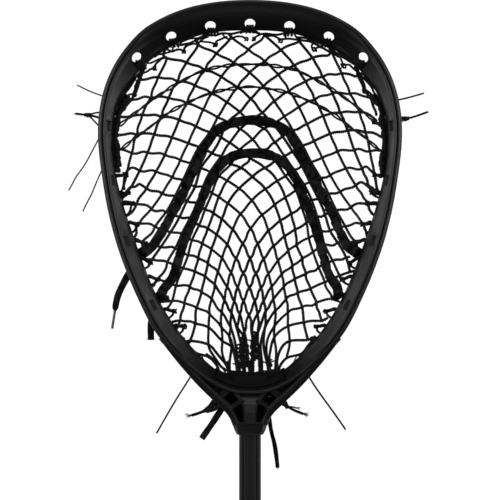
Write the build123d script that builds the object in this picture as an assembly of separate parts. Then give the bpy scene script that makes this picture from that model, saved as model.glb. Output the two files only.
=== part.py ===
from build123d import *
import math
import os

import numpy as np

os.makedirs("parts", exist_ok=True)

# Lacrosse goalie stick. Row frame: +Z up the shaft to the tip of the head,
# +X to the right seen from the catching face, which looks along -Y.
# The origin is the centre of the butt cap's end face. Millimetres.

# ---------------------------------------------------------------- dimensions
SHAFT_W = 22.0            # across X
SHAFT_D = 25.4            # across Y
SHAFT_WALL = 1.5
SHAFT_LEN = 1016.0        # 40 in
SHAFT_FLAT_X = 5.2        # half length of the front and back flats
SHAFT_FLAT_Y = 6.4        # half length of the side flats
SHAFT_HOLLOW = 0.7        # how far each flat is hollowed

CAP_FLOOR = 4.0
CAP_LEN = 42.0
CAP_WALL = 2.0
CAP_GAP = 0.10
CAP_REST_GAP = 0.10

HEAD_MID_Z = 1166.0       # height of the head's reference point
VIEW = 2000.0             # distance from which the outline was measured
REF = 250.0

FACE_Y = -24.0            # front of the rim
BACK_Y = 22.0             # back of the rim
SCOOP_T = 7.0             # scoop thickness measured along Y
SOCKET_GAP = 0.15
SOCKET_TOP_V = 395.5
COLLAR_V = 433.6

SCREW_HEAD_R = 3.4
SCREW_SHANK_R = 1.6
SCREW_Z_V = 426.5

BAG_DEPTH = 66.0          # sag of the net behind the back rail
BAG_T = 1.6
LACE_W = 8.6
LACE_T = 1.8
LACE_LIFT = 1.9           # lace's middle in front of the net
STRING_R = 2.3
NYLON_R = 1.1

STOP_T = 1.9


# ------------------------------------------------------------------- helpers
def place(u, v, y):
    """Point seen at (u, v) on the measured outline, at depth y."""
    k = (VIEW + y) / VIEW
    return ((u - REF) * k, y, HEAD_MID_Z + (REF - v) * k)


def natural_spline(t, p):
    """Second derivatives of a natural cubic spline through p(t)."""
    n = len(t)
    a = np.zeros((n, n))
    b = np.zeros(n)
    a[0, 0] = a[-1, -1] = 1.0
    for i in range(1, n - 1):
        h0, h1 = t[i] - t[i - 1], t[i + 1] - t[i]
        a[i, i - 1], a[i, i], a[i, i + 1] = h0, 2 * (h0 + h1), h1
        b[i] = 6 * ((p[i + 1] - p[i]) / h1 - (p[i] - p[i - 1]) / h0)
    return np.linalg.solve(a, b)


class Curve2:
    """Smooth plane curve through points, symmetric about its two ends' normal."""

    def __init__(self, pts, mirror_start=False, mirror_end=False):
        pts = [tuple(map(float, q)) for q in pts]
        n = len(pts)
        pre = [(-q[0], q[1]) for q in pts[4:0:-1]] if mirror_start else []
        post = [(-q[0], q[1]) for q in pts[-2:-6:-1]] if mirror_end else []
        self.p = np.array(pre + pts + post)
        d = np.hypot(*np.diff(self.p, axis=0).T)
        self.t = np.concatenate([[0], np.cumsum(d)])
        self.t0 = self.t[len(pre)]
        self.t1 = self.t[len(pre) + n - 1]
        self.m = [natural_spline(self.t, self.p[:, k]) for k in (0, 1)]
        self.length = self.t1 - self.t0

    def at(self, s):
        x = min(max(self.t0 + s, self.t[0]), self.t[-1])
        i = min(max(int(np.searchsorted(self.t, x)) - 1, 0), len(self.t) - 2)
        h = self.t[i + 1] - self.t[i]
        a, b = (self.t[i + 1] - x) / h, (x - self.t[i]) / h
        out = []
        for k in (0, 1):
            m = self.m[k]
            out.append(a * self.p[i, k] + b * self.p[i + 1, k]
                       + ((a ** 3 - a) * m[i] + (b ** 3 - b) * m[i + 1]) * h * h / 6)
        return np.array(out)

    def tangent(self, s):
        e = 0.5
        d = self.at(s + e) - self.at(s - e)
        return d / np.hypot(*d)

    def find_v(self, v):
        lo, hi = 0.0, self.length
        for _ in range(50):
            mid = 0.5 * (lo + hi)
            if self.at(mid)[1] < v:
                lo = mid
            else:
                hi = mid
        return 0.5 * (lo + hi)


def smooth(x):
    x = min(max(x, 0.0), 1.0)
    return x * x * (3 - 2 * x)


def polygon_wire(pts):
    return Wire.make_polygon([Vector(*q) for q in pts], close=True)


def loft_wires(sections, ruled):
    return Solid.make_loft([polygon_wire(s) for s in sections], ruled)


def prism(uv, y0, y1, y_ref):
    """Straight block along Y over an outline measured at depth y_ref."""
    pts = [place(u, v, y_ref) for u, v in uv]
    face = Face(Wire.make_polygon([Vector(x, y0, z) for x, _, z in pts], close=True))
    return Solid.extrude(face, Vector(0, y1 - y0, 0))


def mirrored(shape):
    return shape.mirror(Plane.YZ)


# ------------------------------------------------------ outline of the head
# (half width, row) of the outer edge of the rim, and of its inner edge
OUTER = [(0, -0.3), (22, 0.6), (44, 3.4), (63.5, 8), (84.5, 16), (99, 24),
         (110, 32), (124.5, 48), (135.5, 64), (143, 80), (148, 96), (151, 112),
         (152.2, 130), (151.4, 150), (149.3, 168), (147, 184), (144.3, 200),
         (141, 216), (137, 232), (132.3, 248), (126.6, 264), (120.4, 280),
         (113.4, 296), (105.9, 312), (97.3, 328), (89.5, 339.2), (81.8, 348.0),
         (72.5, 357.4), (61.5, 367.2), (50, 376.3), (38, 384.2), (26, 390.1),
         (13, 393.4), (0, 394.2)]
INNER = [(0, 30.5), (25, 31.2), (43, 33.8), (57, 37.5), (70, 42.6), (85, 50.3),
         (98, 59.3), (110, 70.5), (121, 84), (128.8, 97.5), (133, 108.5),
         (135.8, 121), (137, 135), (136.8, 150), (135.4, 165), (132.8, 180),
         (129.2, 195), (125, 210), (120.2, 225), (115, 240), (109.8, 255),
         (104.5, 269), (98.5, 284), (92, 298), (84.5, 311.5), (76.5, 324),
         (67.5, 336), (58, 347.2), (47.5, 358), (36, 368), (24, 375.6),
         (12, 379.2), (0, 380.2)]

outer = Curve2(OUTER, True, True)
inner = Curve2(INNER, True, True)
inner_poly = np.array([inner.at(s) for s in np.linspace(0, inner.length, 400)])


def station(s):
    """Outer point, inward normal and width in (half width, row) units."""
    o = outer.at(s)
    t = outer.tangent(s)
    n = np.array([-t[1], t[0]])          # inward: towards the centre of the face
    if s < 1e-6:
        n = np.array([0.0, 1.0])
    if s > outer.length - 1e-6:
        n = np.array([0.0, -1.0])
    best = None
    for a, b in zip(inner_poly[:-1], inner_poly[1:]):
        e = b - a
        det = n[0] * (-e[1]) + e[0] * n[1]
        if abs(det) < 1e-9:
            continue
        r = a - o
        k = (r[0] * (-e[1]) + e[0] * r[1]) / det
        m = (n[0] * r[1] - n[1] * r[0]) / det
        if 0 <= m <= 1 and k > 4 and (best is None or k < best):
            best = k
    return o, n, best


def scoop_section(w):
    f, b = FACE_Y, BACK_Y

    def ys(i):
        q = (i - 1.8) / (w - 2.5)
        return f + 0.5 + (0.15 * q + 0.85 * q * abs(q)) * (b - 3.2 - f - 0.5)

    def yo(i):
        return ys(i) + SCOOP_T

    return [(0.0, f + 5.5), (0.0, f + 2.2), (0.7, f + 0.7), (1.8, f + 0.5),
            (0.10 * w, ys(0.10 * w)), (0.155 * w, ys(0.155 * w)), (0.22 * w, ys(0.22 * w)),
            (0.30 * w, ys(0.30 * w)), (0.39 * w, ys(0.39 * w)), (0.52 * w, ys(0.52 * w)),
            (0.67 * w, ys(0.67 * w)), (0.835 * w - 1.75, ys(0.835 * w - 1.75)),
            (w - 3.5, ys(w - 3.5)), (w - 0.7, b - 3.2),
            (w, b - 1.8), (w - 0.9, b - 0.3), (w - 3.0, b), (w - 5.6, b - 0.6),
            (w - 8.6, min(yo(w - 8.6), b - 2.4)), (0.52 * w, yo(0.52 * w)),
            (0.30 * w, yo(0.30 * w)), (3.4, yo(3.4)), (1.0, f + 8.6)]


def side_section(w):
    f, b = FACE_Y, BACK_Y
    bulge = f + 6.2 + 0.76 * (b - 14.2 - f) * (w - 13.0) / (w - 10.2)
    return [(0.0, f + 5.0), (0.2, f + 2.4), (1.2, f + 0.8), (2.6, f + 0.1),
            (3.9, f + 0.3), (4.7, f + 1.9), (5.4, f + 0.5), (6.6, f + 0.0),
            (7.7, f + 0.5), (8.7, f + 3.2), (9.4, f + 6.2), (w - 3.6, bulge), (w - 0.8, b - 8.0),
            (w, b - 4.5), (w, b - 1.2), (w - 1.1, b), (w - 4.8, b),
            (w - 5.9, b - 1.1), (w - 6.1, b - 5.0), (w - 4.4, b - 9.0),
            (6.0, f + 9.0), (4.8, f + 6.8), (1.0, f + 6.8)]


def throat_section(w):
    f, b = FACE_Y, BACK_Y
    line = f + 7.5 + (b - 15.5 - f) * (w - 9.8) / (w - 7.0)
    return [(0.0, f + 5.0), (0.2, f + 2.0), (0.9, f + 0.6), (1.8, f + 0.0),
            (2.4, f + 0.0), (3.0, f + 0.1), (3.6, f + 0.5), (4.2, f + 1.4),
            (4.7, f + 2.8), (5.3, f + 4.8), (6.2, f + 7.5), (w - 3.6, line), (w - 0.8, b - 8.0),
            (w, b - 4.5), (w, b - 1.2), (w - 1.1, b), (w - 4.8, b),
            (w - 5.9, b - 1.1), (w - 6.1, b - 5.0), (w - 5.2, b - 9.0),
            (2.4, f + 11.5), (1.2, f + 9.4), (0.3, f + 7.2)]


S_SEAM = outer.find_v(79.0)
S_FADE = outer.find_v(7.0)
S_U0 = outer.find_v(338.0)
S_U1 = outer.find_v(374.0)


def ring_section(s):
    o, n, w = station(s)
    m = smooth((s - S_FADE) / (S_SEAM - S_FADE))
    q = smooth((s - S_U0) / (S_U1 - S_U0))
    a, b, c = scoop_section(w), side_section(w), throat_section(w)
    pts = []
    for pa, pb, pc in zip(a, b, c):
        i = (1 - m) * pa[0] + m * ((1 - q) * pb[0] + q * pc[0])
        y = (1 - m) * pa[1] + m * ((1 - q) * pb[1] + q * pc[1])
        hw, v = o + n * i
        pts.append(place(REF + hw, v, y))
    return pts


def rim_point(s, i, y):
    o, n, _ = station(s)
    hw, v = o + n * i
    return place(REF + hw, v, y)


# ------------------------------------------------------------------ the rim
N_RING = 30
ring_s = [outer.length * k / (N_RING - 1) for k in range(N_RING)]
half_ring = loft_wires([ring_section(s) for s in ring_s], False)

# ------------------------------------------------- outer rails of the throat
RAIL = [(91.0, 339.0), (86.0, 344.8), (80.5, 351.8), (74.5, 359.4), (67.6, 367.7),
        (60.5, 375.8), (53.2, 383.9), (45.4, 391.8), (37.2, 399.6), (29.0, 407.3),
        (24.0, 412.4), (20.8, 416.6), (18.6, 421.0), (16.9, 425.6)]
# a shade outside the rim's own line, so the two never share a face
rail_curve = Curve2([(a + 0.35, b + 0.2) for a, b in RAIL])


def rail_section(s):
    o = rail_curve.at(s)
    t = rail_curve.tangent(s)
    n = np.array([-t[1], t[0]])
    k = s / rail_curve.length
    back = -16.0 + 29.0 * smooth(k / 0.42)
    top = FACE_Y + 1.4 + 1.6 * k
    flank = min(top + 9.0, back - 1.5)
    prof = [(0.0, flank), (0.5, top + 5.6 if back > -8 else top + 3.0), (2.3, top + 2.6),
            (4.3, top + 0.6), (5.8, top), (7.4, top + 0.2), (8.6, top + 1.6),
            (9.2, top + 3.6), (9.2, back - 1.2), (8.2, back), (1.6, back), (0.2, back - 1.2)]
    prof = [(i, min(y, back - 0.2) if j < 9 else y) for j, (i, y) in enumerate(prof)]
    out = []
    for i, y in prof:
        hw, v = o + n * i
        out.append(place(REF + hw, v, y))
    return out


N_RAIL = 15
half_rail = loft_wires([rail_section(rail_curve.length * k / (N_RAIL - 1))
                        for k in range(N_RAIL)], False)

# ------------------------------------------------ struts, post and pocket web
# (u, v) outlines on the left half; the right half is their mirror image
def ridge(a, b, half, y_top, y_back):
    """Bar from a to b with a roof shaped front."""
    d = np.array(b, float) - np.array(a, float)
    n = np.array([-d[1], d[0]]) / math.hypot(*d) * half
    pts = [(-1.0, y_top + half), (-0.25, y_top), (0.25, y_top), (1.0, y_top + half),
           (1.0, y_back), (-1.0, y_back)]
    sec = []
    for k, y in pts:
        x, _, z = place(a[0] + n[0] * k, a[1] + n[1] * k, FACE_Y)
        sec.append(Vector(x, y, z))
    x0, _, z0 = place(a[0], a[1], FACE_Y)
    x1, _, z1 = place(b[0], b[1], FACE_Y)
    return Solid.extrude(Face(Wire.make_polygon(sec, close=True)), Vector(x1 - x0, 0, z1 - z0))


strut_1 = ridge((219.2, 400.0), (231.4, 390.2), 1.3, FACE_Y + 2.8, 8.0)
strut_1b = prism([(216.8, 395.4), (229.0, 386.4), (231.8, 389.4), (219.8, 399.2)],
                 FACE_Y + 7.0, 8.0, FACE_Y)
strut_2 = ridge((230.6, 409.2), (244.2, 400.8), 1.3, FACE_Y + 3.0, 8.0)
strut_2b = prism([(229.4, 406.6), (243.0, 398.2), (244.4, 401.4), (231.4, 409.6)],
                 FACE_Y + 7.4, 8.0, FACE_Y)
web = prism([(176.5, 352.5), (184.0, 357.0), (200.0, 372.0), (218.0, 384.0), (230.0, 388.5),
             (231.0, 390.6), (219.5, 398.2), (213.0, 394.0), (196.0, 379.0)],
            -2.0, 1.0, FACE_Y)
web_rib = prism([(196.6, 372.4), (197.8, 371.2), (214.5, 385.6), (213.4, 387.0)],
                -6.5, -1.9, FACE_Y)
post = prism([(236.6, 391.0), (240.4, 396.2), (243.2, 401.2), (244.4, 406.4), (244.8, 411.0),
              (244.8, 424.0), (250.05, 424.0), (250.05, 391.0)],
             FACE_Y + 2.2, -8.0, FACE_Y)
flank = prism([(227.6, 388.2), (232.2, 392.4), (236.4, 397.4), (239.8, 402.2), (241.8, 407.0),
               (242.4, 412.0), (242.6, 425.0), (245.3, 425.0), (245.1, 411.0), (244.7, 406.4),
               (243.5, 401.0), (240.8, 396.4), (237.0, 391.6), (233.8, 388.2)],
              FACE_Y + 4.4, -10.0, FACE_Y)

# the post leans back towards the rim, so that it runs in under the ridge
lean = [(-40.0, 413.0), (FACE_Y + 2.2, 413.0), (FACE_Y + 3.3, 404.5), (FACE_Y + 5.5, 398.0),
        (FACE_Y + 8.8, 391.4), (FACE_Y + 8.8, 380.0), (-40.0, 380.0)]
lean = Solid.extrude(Face(Wire.make_polygon([Vector(-40, y, place(REF, v, FACE_Y)[2]) for y, v in lean],
                                            close=True)), Vector(80, 0, 0))
post = post.cut(lean)
post = max(post.solids(), key=lambda q: q.volume)
low_web = prism([(230.6, 409.8), (245.0, 401.4), (245.0, 424.5), (239.6, 423.0), (235.2, 416.4)],
                -4.0, -1.0, FACE_Y)


# --------------------------------------------------------------- the shaft
def octagon_face(grow, z):
    """Eight sided section with hollowed flats, grown by grow on each side."""
    w, d = SHAFT_W / 2 + grow, SHAFT_D / 2 + grow
    g = grow * math.tan(math.radians(22.5))
    fx, fy = SHAFT_FLAT_X + g, SHAFT_FLAT_Y + g
    c = [(fx, -d), (w, -fy), (w, fy), (fx, d), (-fx, d), (-w, fy), (-w, -fy), (-fx, -d)]
    edges = []
    for k in range(8):
        a, b = c[k], c[(k + 1) % 8]
        mx, my = (a[0] + b[0]) / 2, (a[1] + b[1]) / 2
        r = math.hypot(mx, my)
        mx, my = mx * (1 - SHAFT_HOLLOW / r), my * (1 - SHAFT_HOLLOW / r)
        edges.append(Edge.make_three_point_arc(Vector(a[0], a[1], z), Vector(mx, my, z),
                                               Vector(b[0], b[1], z)))
    return Face(Wire(edges))


def octagon_bar(grow, z0, z1, corner):
    bar = Solid.extrude(octagon_face(grow, z0), Vector(0, 0, z1 - z0))
    if corner:
        ups = [e for e in bar.edges() if abs(e.length - (z1 - z0)) < 1e-4]
        bar = bar.fillet(corner, ups)
    return bar


shaft_z0 = CAP_FLOOR
shaft_z1 = CAP_FLOOR + SHAFT_LEN
shaft = octagon_bar(0.0, shaft_z0, shaft_z1, 1.0)
shaft = shaft.cut(octagon_bar(-SHAFT_WALL, shaft_z0 - 1, shaft_z1 + 1, 0.5))

# ---------------------------------------------------------- collar and socket
z_collar = place(REF, COLLAR_V, 0)[2]
z_step = place(REF, 428.2, 0)[2]
z_band = place(REF, 422.6, 0)[2]
z_sock_top = place(REF, SOCKET_TOP_V - 4.0, 0)[2]


def collar_wire(hx, hy, z, c=0.42):
    cx, cy = hx * c, hy * c
    pts = [(hx - cx * 0.55, -hy), (hx, -hy + cy), (hx, hy - cy), (hx - cx * 0.55, hy),
           (-hx + cx * 0.55, hy), (-hx, hy - cy), (-hx, -hy + cy), (-hx + cx * 0.55, -hy)]
    return [(x, y, z) for x, y in pts]


collar = loft_wires([collar_wire(13.1, 15.6, z_collar), collar_wire(13.6, 16.2, z_collar + 0.8),
                     collar_wire(15.9, 16.6, z_step)], True)
collar_up = loft_wires([collar_wire(15.9, 17.6, z_step), collar_wire(17.4, 18.6, z_band + 0.8),
                        collar_wire(18.2, 18.0, z_band + 4.5)], True)
SOCKET_SIDES = [(6.4, -15.4), (13.4, -7.4), (13.4, 7.4), (6.4, 15.4),
                (-6.4, 15.4), (-13.4, 7.4), (-13.4, -7.4), (-6.4, -15.4)]
socket = loft_wires([[(x, y, z) for x, y in SOCKET_SIDES] for z in (z_band - 2, z_sock_top)], True)
collar_back = loft_wires([collar_wire(18.2, 18.0, z_band + 4.4), collar_wire(14.4, 15.9, z_band + 14)], True)
back_half = Solid.make_box(80, 40, 200).moved(Location((-40, -4, z_band)))
collar_back = collar_back.intersect(back_half)
if isinstance(collar_back, (list, ShapeList)):
    collar_back = collar_back[0]



def one_solid(shape, least, what):
    """The single solid of a fuse, which may not have lost any of its parts."""
    parts = sorted(shape.solids(), key=lambda q: -q.volume)
    print(what, "volumes", [round(q.volume, 1) for q in parts[:4]])
    if parts[0].volume < least or sum(q.volume for q in parts[1:]) > 2.0:
        raise ValueError(what + " came out in pieces or too small")
    return parts[0]


half = one_solid(half_ring.fuse(half_rail), half_ring.volume + 20000, "half ring and rail")
left_bits = [strut_1, strut_1b, strut_2, strut_2b, web, web_rib, low_web]
for b in left_bits:
    half = one_solid(half.fuse(mirrored(b)), half.volume, "half with a strut")
head = half.fuse(mirrored(half))
head = head.fuse(post, mirrored(post), flank, mirrored(flank))
head = head.fuse(collar, collar_up, socket, collar_back)
head = one_solid(head, 2 * half.volume - 200, "head")

# pocket between the post and each rail, above the collar band: it goes in
# beside the shaft's socket as far as the web behind it
low_pocket = prism([(232.4, 410.4), (241.4, 404.9), (242.8, 406.6), (243.4, 411.0), (243.9, 422.6),
                    (239.4, 422.6), (236.2, 416.8)], FACE_Y - 1, 6.0, FACE_Y)
beside_socket = [(-3.0, -40.0), (-3.0, -15.55), (-6.45, -15.55), (-13.55, -7.45), (-13.55, -4.05),
                 (-60.0, -4.05), (-60.0, -40.0)]
beside_socket = Solid.extrude(Face(Wire.make_polygon([Vector(x, y, z_collar - 20) for x, y in beside_socket],
                                                     close=True)), Vector(0, 0, 90))
low_pocket = low_pocket.intersect(beside_socket)
low_pocket = max(low_pocket.solids(), key=lambda q: q.volume)
head = head.cut(low_pocket, mirrored(low_pocket))

# socket for the shaft
head = head.cut(octagon_bar(SOCKET_GAP, z_collar - 5, place(REF, SOCKET_TOP_V, 0)[2], 1.0))

# windows in each side wall: a step cut deep into its inner side, behind the ridge
WINDOWS = [(109.0, 126.5), (112.6, 181.0), (128.0, 240.8), (152.6, 305.0)]
WINDOW_HALF = 5.3                        # half length along the rim
WINDOW_EDGE = 9.9                        # in from the rim's outer line
WINDOW_SKIN = 1.45


def nearest_s(u, v):
    best, arg = 1e9, 0
    for s in np.linspace(0, outer.length, 1500):
        o = outer.at(s)
        d = math.hypot(abs(u - REF) - o[0], v - o[1])
        if d < best:
            best, arg = d, s
    return arg


def radial_plane(s, y):
    o, n, w = station(s)
    px = place(REF + o[0], o[1], y)
    return Plane(origin=Vector(*px), x_dir=Vector(0, 1, 0), z_dir=Vector(n[0], 0, -n[1]))


def window_cut(u, v):
    s = nearest_s(u, v)
    o, n, w = station(s)
    x0, _, z0 = place(REF + o[0], o[1], 0.0)

    def at(i, t, y):
        return Vector(x0 + n[0] * i + n[1] * t, y, z0 - n[1] * i + n[0] * t)

    floor = -15.0 + (WINDOW_EDGE - WINDOW_SKIN - 6.0) * 28.0 / (w - 10.4)
    floor = min(floor, -1.0)
    edge = [at(WINDOW_EDGE, -WINDOW_HALF, -40.0), at(WINDOW_EDGE, -WINDOW_HALF, floor),
            at(w + 3.0, -WINDOW_HALF, floor + 1.4), at(w + 3.0, -WINDOW_HALF, -40.0)]
    return [Solid.extrude(Face(Wire.make_polygon(edge, close=True)), at(0, WINDOW_HALF, 0) - at(0, -WINDOW_HALF, 0))]


cutters = []
for u, v in WINDOWS:
    cutters += window_cut(u, v)

# string holes in the back rail of each side wall
HOLE_R = 2.1
s_first, s_last = outer.find_v(92.0), outer.find_v(372.0)
N_HOLES = 15
for k in range(N_HOLES):
    s = s_first + (s_last - s_first) * k / (N_HOLES - 1)
    pl = radial_plane(s, BACK_Y - 4.4)
    cutters.append(Solid.make_cylinder(HOLE_R, 34.0, pl))

# string holes in the scoop
SCOOP_HOLES = [(362.5, 59.0), (328.5, 37.5), (289.5, 26.5)]
HOLE_A, HOLE_B = 5.4, 3.9


def scoop_cut(u, v):
    s = nearest_s(u, v)
    _, n, _ = station(s)
    x, _, z = place(u, v, 12.0)
    t = Vector(n[1], 0, n[0]) if abs(u - REF) > 1 else Vector(1, 0, 0)
    pl = Plane(origin=Vector(x, -30, z), x_dir=t, z_dir=Vector(0, 1, 0))
    return Solid.extrude((pl * Ellipse(HOLE_A, HOLE_B)).face(), Vector(0, 70, 0))


cutters += [scoop_cut(u, v) for u, v in SCOOP_HOLES]
cut_all = cutters + [mirrored(c) for c in cutters] + [scoop_cut(250.0, 24.0)]
head = head.cut(*cut_all)

# screw hole through the back of the collar
z_screw = place(REF, SCREW_Z_V, 0)[2]
screw_pl = Plane(origin=Vector(0, 40, z_screw), x_dir=Vector(1, 0, 0), z_dir=Vector(0, -1, 0))
seat_y = 17.0
head = head.cut(Solid.make_cylinder(SCREW_SHANK_R + 0.15, 30, screw_pl))
head = head.cut(Solid.make_cylinder(SCREW_HEAD_R + 0.3, 40 - seat_y, screw_pl))
if isinstance(head, (list, ShapeList)):
    head = Compound(list(head))
head = one_solid(head, 200000, "finished head")

shaft = shaft.cut(Solid.make_cylinder(SCREW_SHANK_R + 0.05, 40 - 6.0, screw_pl))
shaft = max(shaft.solids(), key=lambda q: q.volume)

# head screw: pan head on the seat, shank through the collar and the shaft wall
head_pl = Plane(origin=Vector(0, seat_y, z_screw), x_dir=Vector(1, 0, 0), z_dir=Vector(0, 1, 0))
screw = Solid.make_cylinder(SCREW_HEAD_R, 2.2, head_pl)
screw = screw.fillet(0.9, [e for e in screw.edges() if e.center().Y > seat_y + 1])
shank_pl = Plane(origin=Vector(0, seat_y + 0.5, z_screw), x_dir=Vector(1, 0, 0), z_dir=Vector(0, -1, 0))
screw = screw.fuse(Solid.make_cylinder(SCREW_SHANK_R, 9.0, shank_pl))
slot_a = Solid.make_box(4.0, 1.3, 0.9).moved(Location((-2.0, seat_y + 1.2, z_screw - 0.45)))
slot_b = Solid.make_box(0.9, 1.3, 4.0).moved(Location((-0.45, seat_y + 1.2, z_screw - 2.0)))
screw = screw.cut(slot_a, slot_b)
screw = max(screw.solids(), key=lambda q: q.volume)

# butt cap: a rubber cup over the end of the shaft
cap = octagon_bar(CAP_WALL + CAP_GAP, 0.0, CAP_LEN, 2.6)
bottom = [e for e in cap.edges() if e.center().Z < 0.01]
top = [e for e in cap.edges() if e.center().Z > CAP_LEN - 0.01]
cap = cap.chamfer(1.1, None, bottom)
cap = cap.cut(octagon_bar(CAP_GAP, CAP_FLOOR - CAP_REST_GAP, CAP_LEN + 2, 1.0))
cap = max(cap.solids(), key=lambda q: q.volume)

# -------------------------------------------------------------- ball stop
stop_stations = []
s_stop0 = outer.length - 46.0
for k in range(10):
    s = s_stop0 + (outer.length - s_stop0) * k / 9
    o, n, w = station(s)
    t = STOP_T * (0.35 + 0.65 * smooth(k / 2.2))
    prof = [(6.7, FACE_Y + 7.7), (w - 0.6, BACK_Y - 8.2), (w + 0.3, BACK_Y - 4.5),
            (w + t - 0.5, BACK_Y - 5.2), (w + t - 1.0, BACK_Y - 9.0), (6.6 + t, FACE_Y + 9.5),
            (6.9 + t * 0.5, FACE_Y + 7.9)]
    prof = [(i + 0.45, y) for i, y in prof]
    sec = []
    for i, y in prof:
        hw, v = o + n * i
        sec.append(place(REF + hw, v, y))
    stop_stations.append(sec)
half_stop = loft_wires(stop_stations, False)
ball_stop = half_stop.fuse(mirrored(half_stop))

# its thick middle, cut to lie on the rim's inner wall
keep_off = []
for k in range(7):
    s = outer.length - 30.0 + 30.0 * k / 6
    o, n, w = station(s)
    prof = [(2.0, FACE_Y + 3.0), (7.2, FACE_Y + 8.0), (w + 0.3, BACK_Y - 8.4), (w + 1.3, BACK_Y - 4.5),
            (w + 1.3, BACK_Y + 6.0), (2.0, BACK_Y + 6.0)]
    keep_off.append([place(REF + (o + n * i)[0], (o + n * i)[1], y) for i, y in prof])
keep_off = loft_wires(keep_off, False)
STOP_FRONT = -2.6
middle = prism([(233.0, 376.4), (267.0, 376.4), (267.0, 383.2), (233.0, 383.2)], STOP_FRONT, 16.5, STOP_FRONT)
middle = middle.fillet(1.0, [e for e in middle.edges() if e.center().Y < STOP_FRONT + 0.01])
# a ledge along its front, below
middle = middle.fuse(prism([(233.0, 381.9), (266.4, 381.9), (266.4, 384.1), (233.0, 384.1)], -7.4, 2.0, STOP_FRONT))
middle = middle.cut(keep_off, mirrored(keep_off))
middle = max(middle.solids(), key=lambda q: q.volume)
print("ball stop parts", round(ball_stop.volume, 1), round(middle.volume, 1))
ball_stop = one_solid(ball_stop.fuse(middle), ball_stop.volume + 0.4 * middle.volume, "ball stop")


# ------------------------------------------------------- the pocket surface
def half_width(v):
    """Inner half width of the rim at row v."""
    if v <= 31 or v >= 379.5:
        return 0.0
    w = 0.0
    for a, b in zip(inner_poly[:-1], inner_poly[1:]):
        lo, hi = min(a[1], b[1]), max(a[1], b[1])
        if lo <= v <= hi and hi > lo:
            w = max(w, a[0] + (v - a[1]) / (b[1] - a[1]) * (b[0] - a[0]))
    return w


def bag_y(u, v):
    """Depth of the net at the place seen at (u, v)."""
    tau = min(max((v - 33.0) / 343.0, 0.0), 1.0)
    along = (4 * tau * (1 - tau)) ** 0.62
    along *= 0.86 + 0.14 * math.sin(math.pi * tau)
    hw = max(half_width(min(max(v, 33.0), 377.0)) - 5.0, 10.0)
    s = min(abs(u - REF) / hw, 1.0)
    across = (1 - s * s) ** 0.85
    return BACK_Y - 3.0 + BAG_DEPTH * along * across


def bag_normal(u, v):
    """Normal of the net's front at (u, v), pointing towards the face."""
    e = 1.5
    a = Vector(*place(u + e, v, bag_y(u + e, v))) - Vector(*place(u - e, v, bag_y(u - e, v)))
    b = Vector(*place(u, v + e, bag_y(u, v + e))) - Vector(*place(u, v - e, bag_y(u, v - e)))
    n = a.cross(b).normalized()
    return n if n.Y < 0 else n * -1


# the net as one thin bag: C shaped sections stacked from throat to scoop
N_ROWS = 22
N_COLS = 17
rows_v = [364.5 - (364.5 - 41.0) * k / (N_ROWS - 1) for k in range(N_ROWS)]


def bag_half(v):
    return max(half_width(v) - 9.5 - 5.0 * smooth((60 - v) / 25.0), 7.0)


def bag_section(v, flat):
    front, back = [], []
    hw = bag_half(v)
    z_flat = place(REF, v, bag_y(REF, v))[2]
    for k in range(N_COLS):
        a = -1 + 2 * k / (N_COLS - 1)
        u = REF + hw * math.sin(a * math.pi / 2)
        y = bag_y(u, v)
        x, _, z = place(u, v, y)
        if flat:
            z = z_flat
        front.append((x, y, z))
        back.append((x, y + BAG_T * (1.0 + 0.9 * abs(a) ** 3), z))
    return front + back[::-1]


bag = loft_wires([bag_section(v, v in (rows_v[0], rows_v[-1])) for v in rows_v], True)

# ------------------------------------------------------------ woven strings
def frames(points):
    p = [Vector(*q) for q in points]
    out = []
    for k in range(len(p)):
        a, b = p[max(k - 1, 0)], p[min(k + 1, len(p) - 1)]
        out.append((p[k], (b - a).normalized()))
    return out


def round_bar(points, r, sides=8):
    secs = []
    for c, t in frames(points):
        e1 = t.cross(Vector(0, 1, 0))
        e1 = e1.normalized()
        e2 = t.cross(e1).normalized()
        secs.append([tuple(c + e1 * (r * math.cos(2 * math.pi * j / sides))
                           + e2 * (r * math.sin(2 * math.pi * j / sides)))
                     for j in range(sides)])
    return loft_wires(secs, True)


def flat_bar(uv, lift, width, thick):
    """Flat lace on the front of the net, its face along the net's surface."""
    secs = []
    points = [place(u, v, bag_y(u, v)) for u, v in uv]
    for (c, t), (u, v) in zip(frames(points), uv):
        normal = bag_normal(u, v)
        e1 = t.cross(normal).normalized()
        e2 = e1.cross(t).normalized()
        if e2.Y > 0:
            e2 = e2 * -1
        c = c + e2 * lift
        secs.append([tuple(c + e1 * (sx * width / 2) + e2 * (sy * thick / 2))
                     for sx, sy in ((-1, -1), (1, -1), (1, 1), (-1, 1))])
    return loft_wires(secs, True)


def resample(uv, step):
    c = Curve2(uv)
    n = max(int(round(c.length / step)), 2)
    return [tuple(c.at(c.length * k / n)) for k in range(n + 1)]


UPPER_LACE = [(151.6, 247.0), (155.5, 241.5), (164, 229), (172, 215), (181.5, 200), (189, 185),
              (197.5, 166), (204.5, 150), (210, 137.5), (218, 128.5), (229.5, 123.6), (240, 121.3),
              (250, 120.4)]
LOWER_LACE = [(164.2, 288.0), (170.5, 281), (176, 267), (181, 250), (187, 234), (195, 215),
              (202, 198), (208, 183), (213, 173), (220, 163), (229, 157.0), (240, 154.3),
              (250, 153.6)]
UPPER_NYLON = [(123.8, 122.5), (139, 110), (164, 92), (184, 80), (205, 70.8), (228, 66), (250, 64.3)]
LOWER_NYLON = [(121.5, 148.5), (137, 136.5), (152, 125), (168.5, 113), (187, 103), (211, 93.4),
               (232, 88.4), (250, 86.7)]


def both(uv):
    return uv + [(2 * REF - u, v) for u, v in uv[-2::-1]]


def on_bag(uv, lift):
    return [place(u, v, bag_y(u, v) - lift) for u, v in uv]


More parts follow.
